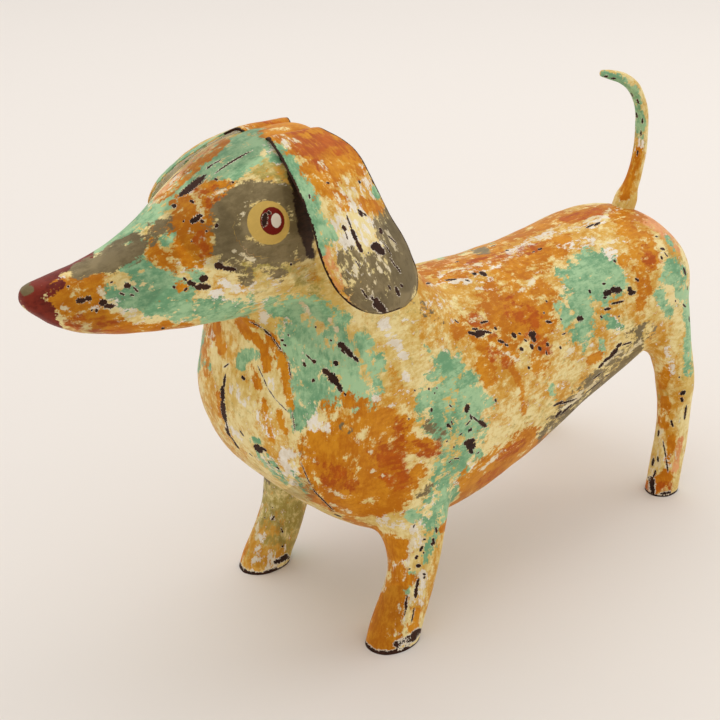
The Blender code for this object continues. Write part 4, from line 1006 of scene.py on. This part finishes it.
earPaint = {
    "ochre": [
        (.8, 12, (345, 165, 358, 182, 372, 205)), (.5, 10, (320, 185, 335, 200)),
        (.5, 7, (314, 250, 322, 275, 334, 292)), (.4, 12, (310, 145, 345, 160)), (.3, 10, (335, 165, 355, 175)),
        (.1, 8, (330, 195, 345, 205)), (.3, 6, (372, 200, 385, 212)), (.2, 7, (328, 250, 340, 285)),
        (.3, 5, (343, 290, 350, 296)),
    ],
    "peach": [
        (.1, 4, (325, 250, 332, 268, 340, 284)), (-.1, 6, (345, 292, 360, 303)),
    ],
    "white": [
        (.3, 11, (350, 200, 362, 225)), (.2, 7, (340, 222, 348, 245)), (.1, 8, (350, 215, 365, 235)),
        (.1, 6, (362, 185, 366, 205)), (.1, 5, (345, 225, 352, 250)), (.2, 3, (347, 200, 349, 225)),
        (0, 3, (338, 240, 352, 278)), (0, 3, (360, 262, 372, 290)), (0, 3, (385, 225, 392, 238)),
        (0, 2, (381, 240, 402, 272)), (-.3, 3, (268, 128, 280, 140, 292, 150)), (.2, 2, (298, 126, 310, 127)),
        (0, 4, (366, 172, 374, 190)),
    ],
    "mint": [
        (.9, 8, (272, 144, 286, 160, 298, 182)), (.8, 9, (296, 172, 306, 192, 312, 212)),
        (.7, 9, (308, 205, 313, 228, 316, 246)), (.1, 7, (322, 215, 330, 240)), (.4, 3, (376, 190, 378, 196)),
    ],
    "orange": [
        (1, 10, (262, 122, 300, 122, 325, 132)), (.9, 15, (296, 134, 312, 150, 334, 152)),
        (.7, 12, (335, 140, 350, 158)), (.3, 10, (312, 168, 325, 185)), (.5, 13, (300, 140, 330, 145)),
        (.45, 10, (335, 142, 352, 155)), (.4, 10, (318, 160, 330, 172)), (.2, 8, (345, 165, 358, 172)),
        (0, 6, (330, 190, 345, 205)), (.1, 4, (362, 200, 368, 210)), (.2, 6, (285, 133, 300, 145)),
        (0, 5, (372, 205, 380, 212)),
    ],
    "deep": [
        (.6, 10, (305, 148, 325, 142)), (.4, 8, (298, 143, 315, 148)), (.2, 7, (322, 140, 335, 150)),
        (.2, 4, (286, 122, 302, 121)), (0, 5, (345, 145, 355, 155)), (.1, 4, (315, 163, 322, 168)),
    ],
    "taupe": [
        (.9, 9, (396, 222, 404, 236, 410, 258, 412, 282, 404, 300)), (.9, 8, (372, 306, 390, 308, 402, 302)),
        (.5, 14, (390, 224, 398, 250, 404, 285)), (.35, 15, (372, 268, 385, 284, 388, 300)),
        (.15, 13, (350, 262, 356, 280, 365, 298)), (.4, 12, (402, 262, 405, 285, 395, 300)),
        (.5, 10, (392, 218, 400, 240)), (.5, 8, (358, 300, 378, 306)), (.6, 6, (383, 220, 390, 225)),
    ],
    "straw": [
        (0, 6, (365, 255, 372, 262)),
    ],
    # painted shade near the ear's rear and lower edge
    "shadeAndDarken": [
        (.3, 14, (395, 230, 404, 280)), (.25, 10, (385, 300, 370, 305)),
    ],
    "scratch": [
        (0, .9, (352, 262, 361, 285)), (0, .9, (361, 250, 368, 262)), (-.15, .9, (340, 200, 344, 232)),
        (-.15, .9, (347, 178, 352, 205)), (0, .9, (375, 256, 392, 272)), (-.2, .8, (368, 268, 378, 285)),
        (-.2, .8, (275, 134, 290, 146)), (-.2, .8, (282, 132, 300, 142)), (-.2, .8, (320, 160, 328, 176)),
        (-.2, .8, (386, 232, 397, 250)), (-.1, .9, (366, 285, 376, 298)), (-.2, .8, (330, 250, 338, 275)),
        (-.2, .8, (335, 190, 338, 215)), (-.2, .8, (355, 190, 358, 205)), (.1, 1.6, (378, 258, 380, 270)),
    ],
    "bare": [
        (.5, 3.5, (376, 304, 384, 311)), (.5, 2.5, (372, 299, 378, 303)), (.5, 4, (375, 246, 381, 251)),
    ],
    "flecks": [
        (.4, 5, (325, 165, 335, 180)), (.3, 6, (345, 215, 365, 245)), (.3, 6, (380, 240, 400, 290)),
        (.3, 5, (355, 180, 362, 190)),
    ],
}
earInside = {"white": 1.0, "mint": -.6, "flecks": -.2}
earChips = [
    (346.5, 215, 352, 230, 1.6), (351, 228, 357, 242, 3.6), (356, 240, 362, 253, 3.6), (374, 244, 380, 250, 6.5),
    (378, 249, 385, 254, 4), (342.5, 225, 345.5, 231, 3.2), (345, 231, 348, 240, 1), (360, 210, 362, 217, 3.5),
    (358, 209, 360, 213, 1.5), (363, 213, 367, 216, 1.6), (380.5, 228, 381, 234, 3.6), (359, 180, 360, 184, 2),
    (327.5, 182, 328.5, 184, 2.4), (309, 194, 310, 199, 1.6), (387, 235, 397, 244, 1.4), (382, 241, 392, 256, 1.1),
    (390, 258, 396, 267, 1.6), (396, 266, 401, 273, 1.8), (395, 287, 400, 296, 3.4), (400, 284, 403, 287, 2.4),
    (388, 285, 391, 290, 2), (361, 289, 368, 299, 1.7), (374, 299, 378, 301, 4), (377, 301, 385, 312, 5),
    (355, 260, 360, 268, 1.1), (351, 247, 352, 250, 1.2), (368, 252, 369, 254, 1),
]


def smoothRows(rows, steps):
    # more rows between the given ones, on a smooth curve through them
    made = []
    for i in range(len(rows) - 1):
        near = (rows[min(max(k, 0), len(rows) - 1)] for k in (i - 1, i, i + 1, i + 2))
        p0, p1, p2, p3 = (np.array(row, dtype=float) for row in near)
        for k in range(steps):
            t = k / steps
            square, cube = (2 * p0 - 5 * p1 + 4 * p2 - p3) * t * t, (3 * p1 - p0 - 3 * p2 + p3) * t ** 3
            made.append(0.5 * (2 * p1 + (p2 - p0) * t + square + cube))
    made.append(np.array(rows[-1], dtype=float))
    return made


def earGrid():
    # the middle of the near ear's sheet, and its normals
    _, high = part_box("ear_left")
    grid = []
    for fx, fy, fz, rx, ry, rz, bulge in smoothRows(ear["rows"], ear["steps"]):
        outward = np.array((0, fy, ear["slopeShare"] * max(fz - ear["slopeFrom"], 0)))
        outward /= np.linalg.norm(outward)
        front, rear = np.array((fx, fy, fz)), np.array((rx, ry, rz))
        line = []
        for k in range(ear["columns"] + 1):
            t = k / ear["columns"]
            warped = t ** ear["ridge"]
            line.append(front * (1 - t) + rear * t + outward * (bulge * 4 * warped * (1 - warped)))
        grid.append(line)
    grid = np.array(grid) * mm
    grid[..., 0] += high.x - grid[..., 0].max()
    normal = np.cross(np.gradient(grid, axis=1), np.gradient(grid, axis=0))
    normal /= np.maximum(np.linalg.norm(normal, axis=2), 1e-12)[..., None]
    if normal[..., 1].mean() < 0:
        normal = -normal
    return grid, normal, high.y


def earSheet(side):
    # both faces of the sheet and its cut edge, with the waves and the fold, and for each point how far the cut edge
    # is in millimetres and where it is along and across the sheet
    grid, normal, outmost = earGrid()
    tall, wide = grid.shape[:2]
    wave = np.array([[sum(share * noise.noise(Vector(p) / size) for size, share in ear["waves"]) for p in line]
                     for line in grid])
    rise, where, reach = ear["fold"]
    fold = rise * np.exp(-np.abs(np.linspace(0, 1, wide) - where) / reach)[None]
    rootRows, rootFade, tipRows, tipFade = ear["foldFade"]
    fade = ramp(np.arange(tall), rootRows, rootFade) * np.clip((tall - tipRows - np.arange(tall)) / tipFade, 0, 1)
    grid = grid + normal * (wave * ear["waveHeight"] + fold * fade[:, None])[..., None]
    faces = [grid + normal * (ear["thick"] / 2), grid - normal * (ear["thick"] / 2)]
    squeeze = min(1, (outmost - ear["boxGap"]) / max(face[..., 1].max() for face in faces))  # within the frame's ear
    for face in faces:
        face[..., 1] *= side * squeeze
    shell = bmesh.new()
    sheets = [[[shell.verts.new(tuple(p)) for p in line] for line in face] for face in faces]
    for sheet in sheets:
        for i in range(tall - 1):
            for k in range(wide - 1):
                shell.faces.new((sheet[i][k], sheet[i][k + 1], sheet[i + 1][k + 1], sheet[i + 1][k]))
    rim = [(0, k) for k in range(wide)] + [(i, wide - 1) for i in range(1, tall)]
    rim += [(tall - 1, k) for k in range(wide - 2, -1, -1)] + [(i, 0) for i in range(tall - 2, 0, -1)]
    for (i, k), (j, l) in zip(rim, rim[1:] + rim[:1]):
        shell.faces.new((sheets[0][i][k], sheets[0][j][l], sheets[1][j][l], sheets[1][i][k]))
    mesh = closeShell(shell, bpy.data.meshes.new("earSheet"))
    outline = [grid[i, k] for i, k in rim if i > ear["rootRows"]]
    tree = KDTree(len(outline))
    for n, p in enumerate(outline):
        tree.insert(p, n)
    tree.balance()
    toRim = np.array([[tree.find(p)[2] / mm for p in line] for line in grid])
    toRim[:, wide * 2 // 3:] += ear["rearKept"]
    if side < 0:
        row, more = ear["frontKept"]
        toRim[row:, :wide // 3] += more
    along = np.repeat(runLength(grid[:, wide // 2])[:, None], wide, axis=1) / ear["stretch"]
    across = np.repeat(runLength(grid[tall // 2])[None], tall, axis=0)
    flat = np.stack([along, across, np.zeros((tall, wide))], axis=2)
    return mesh, np.concatenate([toRim.ravel()] * 2), np.concatenate([flat.reshape(-1, 3)] * 2), tall * wide


def farEarStrokes(strokes):
    # the far ear was painted like its twin, but less full, and pale below its root
    rng = random.Random(ear["farSeed"])
    stray = ear["farShift"]
    changed = []
    for colour, fill, size, line, way in strokes:
        if colour in ("orange", "deep") and max(p[1] for p in line) > ear["paleFrom"]:
            colour = "straw"
        size *= rng.uniform(.8, 1.1)
        line = [np.array(p) + np.array((rng.uniform(-stray, stray), 0, rng.uniform(-stray, stray))) * mm for p in line]
        changed.append((colour, fill - ear["farFill"], size, line, way))
    return changed


def dressEar(name, side):
    mesh, rim, flat, count = earSheet(side)
    mesh.name = name + "Sheet"
    coords, normals, edges = meshArrays(mesh)
    outer = np.arange(len(coords)) < count
    mirror = np.array((1, side, 1))
    left, facing = coords * mirror, normals * mirror  # both ears are painted as the near one
    tree = treeOf(left, mesh)
    strokes = strokesOn(tree, earPaint)[0]
    fields = paintFields(left, strokes if side > 0 else farEarStrokes(strokes))
    for colour in fields:
        fields[colour] = np.where(outer, fields[colour], earInside.get(colour, brush["unpainted"]))
    spreadFields(mesh, fields, rim)
    layChips(mesh, left, np.where(outer[:, None], facing, -facing), edges, chipsOn(tree, earChips))
    putField(mesh, "brushAlong", flat + np.array((ear["farOffset"] * (side < 0), 0, 0)))
    mesh.shade_smooth()
    mesh.set_sharp_from_angle(angle=math.radians(ear["sharp"]))
    newPiece(name + "Sheet", mesh, earEnamel, name)


# the tail
tail = {
    # x, z and diameter in millimetres, from inside the rump to the curled tip
    "rows": [
        (-168, 154, 12.5), (-171, 160.5, 12.2), (-174, 166.5, 9.0), (-177, 173, 7.8), (-180, 185, 7.2), (-180, 199, 7.0),
        (-178, 210, 6.8), (-171, 221, 6.6), (-161, 228, 6.0), (-150, 232, 5.0), (-143, 234, 3.6),
    ],
    "steps": 7, "sides": 28, "tip": (.92, .75, .5, .25), "tipLength": 0.8, "tipGap": 0.6 * mm,
    "unevenness": 0.05, "unevenSize": 9 * mm, "stretch": 3.6, "round": 4 * mm, "rim": 20.0,
}
tailPaint = {
    "mint": [
        (.6, 5, (606, 76, 622, 82, 632, 95)), (.6, 5, (632, 92, 638, 108, 640, 122)), (.1, 4, (640, 122, 640, 135)),
    ],
    "straw": [
        (.2, 6, (639, 130, 638, 150)),
    ],
    "ochre": [
        (.3, 6, (636, 155, 632, 172, 627, 190)), (.1, 4, (640, 130, 640, 150)),
    ],
    "orange": [
        (.2, 5, (630, 178, 625, 195)), (0, 4, (639, 150, 634, 168)),
    ],
    "white": [
        (.0, 3, (638, 118, 639, 128)), (0, 2.5, (641, 135, 641, 150)),
    ],
    "flecks": [
        (.4, 5, (635, 95, 640, 125)), (.2, 4, (640, 130, 636, 160)),
    ],
}
tailChips = [
    (611, 78, 616, 79, 1.6), (604, 76, 608, 77, 1.8), (637, 99, 639, 104, 1.6), (631, 93, 633, 97, 1.4),
    (636, 112, 637, 118, 1.6), (642, 118, 642.5, 124, 1.4), (641, 130, 641, 136, 1.2), (638, 150, 637, 156, 1.2),
    (634, 122, 634.5, 127, 1.2),
]


def dressTail():
    _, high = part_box("tail")
    rows = np.array(smoothRows(tail["rows"], tail["steps"]))
    middle = np.stack([rows[:, 0], np.zeros(len(rows)), rows[:, 1]], axis=1) * mm
    middle[:, 0] += high.x - middle[:, 0].max() - tail["tipGap"]
    way = np.gradient(middle, axis=0)
    way /= np.linalg.norm(way, axis=1)[:, None]
    lengths = runLength(middle)
    shell = bmesh.new()
    rings, flat = [], []
    sides = tail["sides"]
    for i, shrink in [(i, 1.0) for i in range(len(rows))] + [(len(rows) - 1, s) for s in tail["tip"]]:
        across = np.cross(way[i], (0, 1, 0))
        uneven = noise.noise(Vector(middle[i]) / tail["unevenSize"])
        radius = rows[i, 2] / 2 * mm * (1 + tail["unevenness"] * uneven)
        forward = way[i] * radius * math.sqrt(max(1 - shrink ** 2, 0)) * tail["tipLength"]
        ring = []
        for k in range(sides):
            angle = 2 * math.pi * k / sides
            outward = across * math.cos(angle) + np.array((0, 1, 0)) * math.sin(angle)
            ring.append(shell.verts.new(tuple(middle[i] + forward + outward * radius * shrink)))
            turned = math.cos(angle) * tail["round"], math.sin(angle) * tail["round"]
            flat.append((lengths[i] / tail["stretch"], *turned))
        rings.append(ring)
    for one, two in zip(rings, rings[1:]):
        for k in range(sides):
            shell.faces.new((one[k], one[(k + 1) % sides], two[(k + 1) % sides], two[k]))
    shell.faces.new(rings[0])
    shell.faces.new(rings[-1])
    mesh = closeShell(shell, bpy.data.meshes.new("tailRod"))
    coords, normals, edges = meshArrays(mesh)
    tree = treeOf(coords, mesh)
    fields = paintFields(coords, strokesOn(tree, tailPaint)[0])
    spreadFields(mesh, fields, np.full(len(coords), tail["rim"]))
    layChips(mesh, coords, normals, edges, chipsOn(tree, tailChips))
    putField(mesh, "brushAlong", np.array(flat))
    mesh.shade_smooth()
    newPiece("tailRod", mesh, tailEnamel, "tail")


dressBody()
earEnamel = enamelMaterial("earEnamel", 430.0, 130.0, 0.9, 0.0, False)
tailEnamel = enamelMaterial("tailEnamel", 500.0, 190.0, 0.3, 0.6, False)
dressEar("ear_left", 1)
dressEar("ear_right", -1)
dressTail()
print("pieces dressed")

# floor, light and camera
studio = {
    "floor": srgb(235, 230, 224), "floorShade": 0.985, "floorHalf": 8.0, "floorRough": 0.8,
    "air": srgb(255, 251, 248), "airStrength": 0.79, "lampAim": (0, 0, 0.1), "lampTint": (1.0, 0.985, 0.97),
    "lamps": [((-0.35, -0.6, 1.75), 2.0, 10.5), ((-1.6, 0.5, 1.2), 1.2, 5.5)],  # place, size and power
}


def aim(holder, place, ahead):
    # a lamp or the camera goes to its place and looks ahead
    holder.location = place
    holder.rotation_mode = "QUATERNION"
    holder.rotation_quaternion = ahead.to_track_quat("-Z", "Y")
    bpy.context.scene.collection.objects.link(holder)


def buildStudio():
    scene = bpy.context.scene
    floorMesh = bpy.data.meshes.new("floor")
    wide = studio["floorHalf"]
    floorMesh.from_pydata([(-wide, -wide, 0), (wide, -wide, 0), (wide, wide, 0), (-wide, wide, 0)], [], [(0, 1, 2, 3)])
    floor = bpy.data.objects.new("floor", floorMesh)
    scene.collection.objects.link(floor)
    paper = bpy.data.materials.new("paper")
    paper.use_nodes = True
    tree = paper.node_tree
    shader = tree.nodes["Principled BSDF"].inputs
    soft = noiseNode(tree, tree.nodes.new("ShaderNodeTexCoord").outputs["Object"], 3.0, 3.0, 0.5).outputs[0]
    shade = mixColour(tree, soft, studio["floor"], dimmed(studio["floor"], studio["floorShade"]))
    feed(tree, shader["Base Color"], shade)
    feed(tree, shader["Roughness"], studio["floorRough"])
    floorMesh.materials.append(paper)
    world = bpy.data.worlds.new("air")
    scene.world = world
    world.use_nodes = True
    air = world.node_tree.nodes["Background"]
    air.inputs["Color"].default_value = studio["air"]
    air.inputs["Strength"].default_value = studio["airStrength"]
    for k, (place, size, power) in enumerate(studio["lamps"]):
        lamp = bpy.data.lights.new(f"softLamp{k}", "AREA")
        lamp.size, lamp.energy, lamp.color = size, power, studio["lampTint"]
        aim(bpy.data.objects.new(f"softLamp{k}", lamp), place, Vector(studio["lampAim"]) - Vector(place))
    lens = bpy.data.cameras.new("camera")
    lens.sensor_width = photo["sensor"]
    lens.lens = photo["focal"] / photo["size"] * photo["sensor"]
    lens.clip_start = 0.01
    camera = bpy.data.objects.new("camera", lens)
    aim(camera, lookFrom, lookAhead)
    scene.camera = camera
    scene.view_settings.view_transform = "Standard"


buildStudio()
print("studio built")
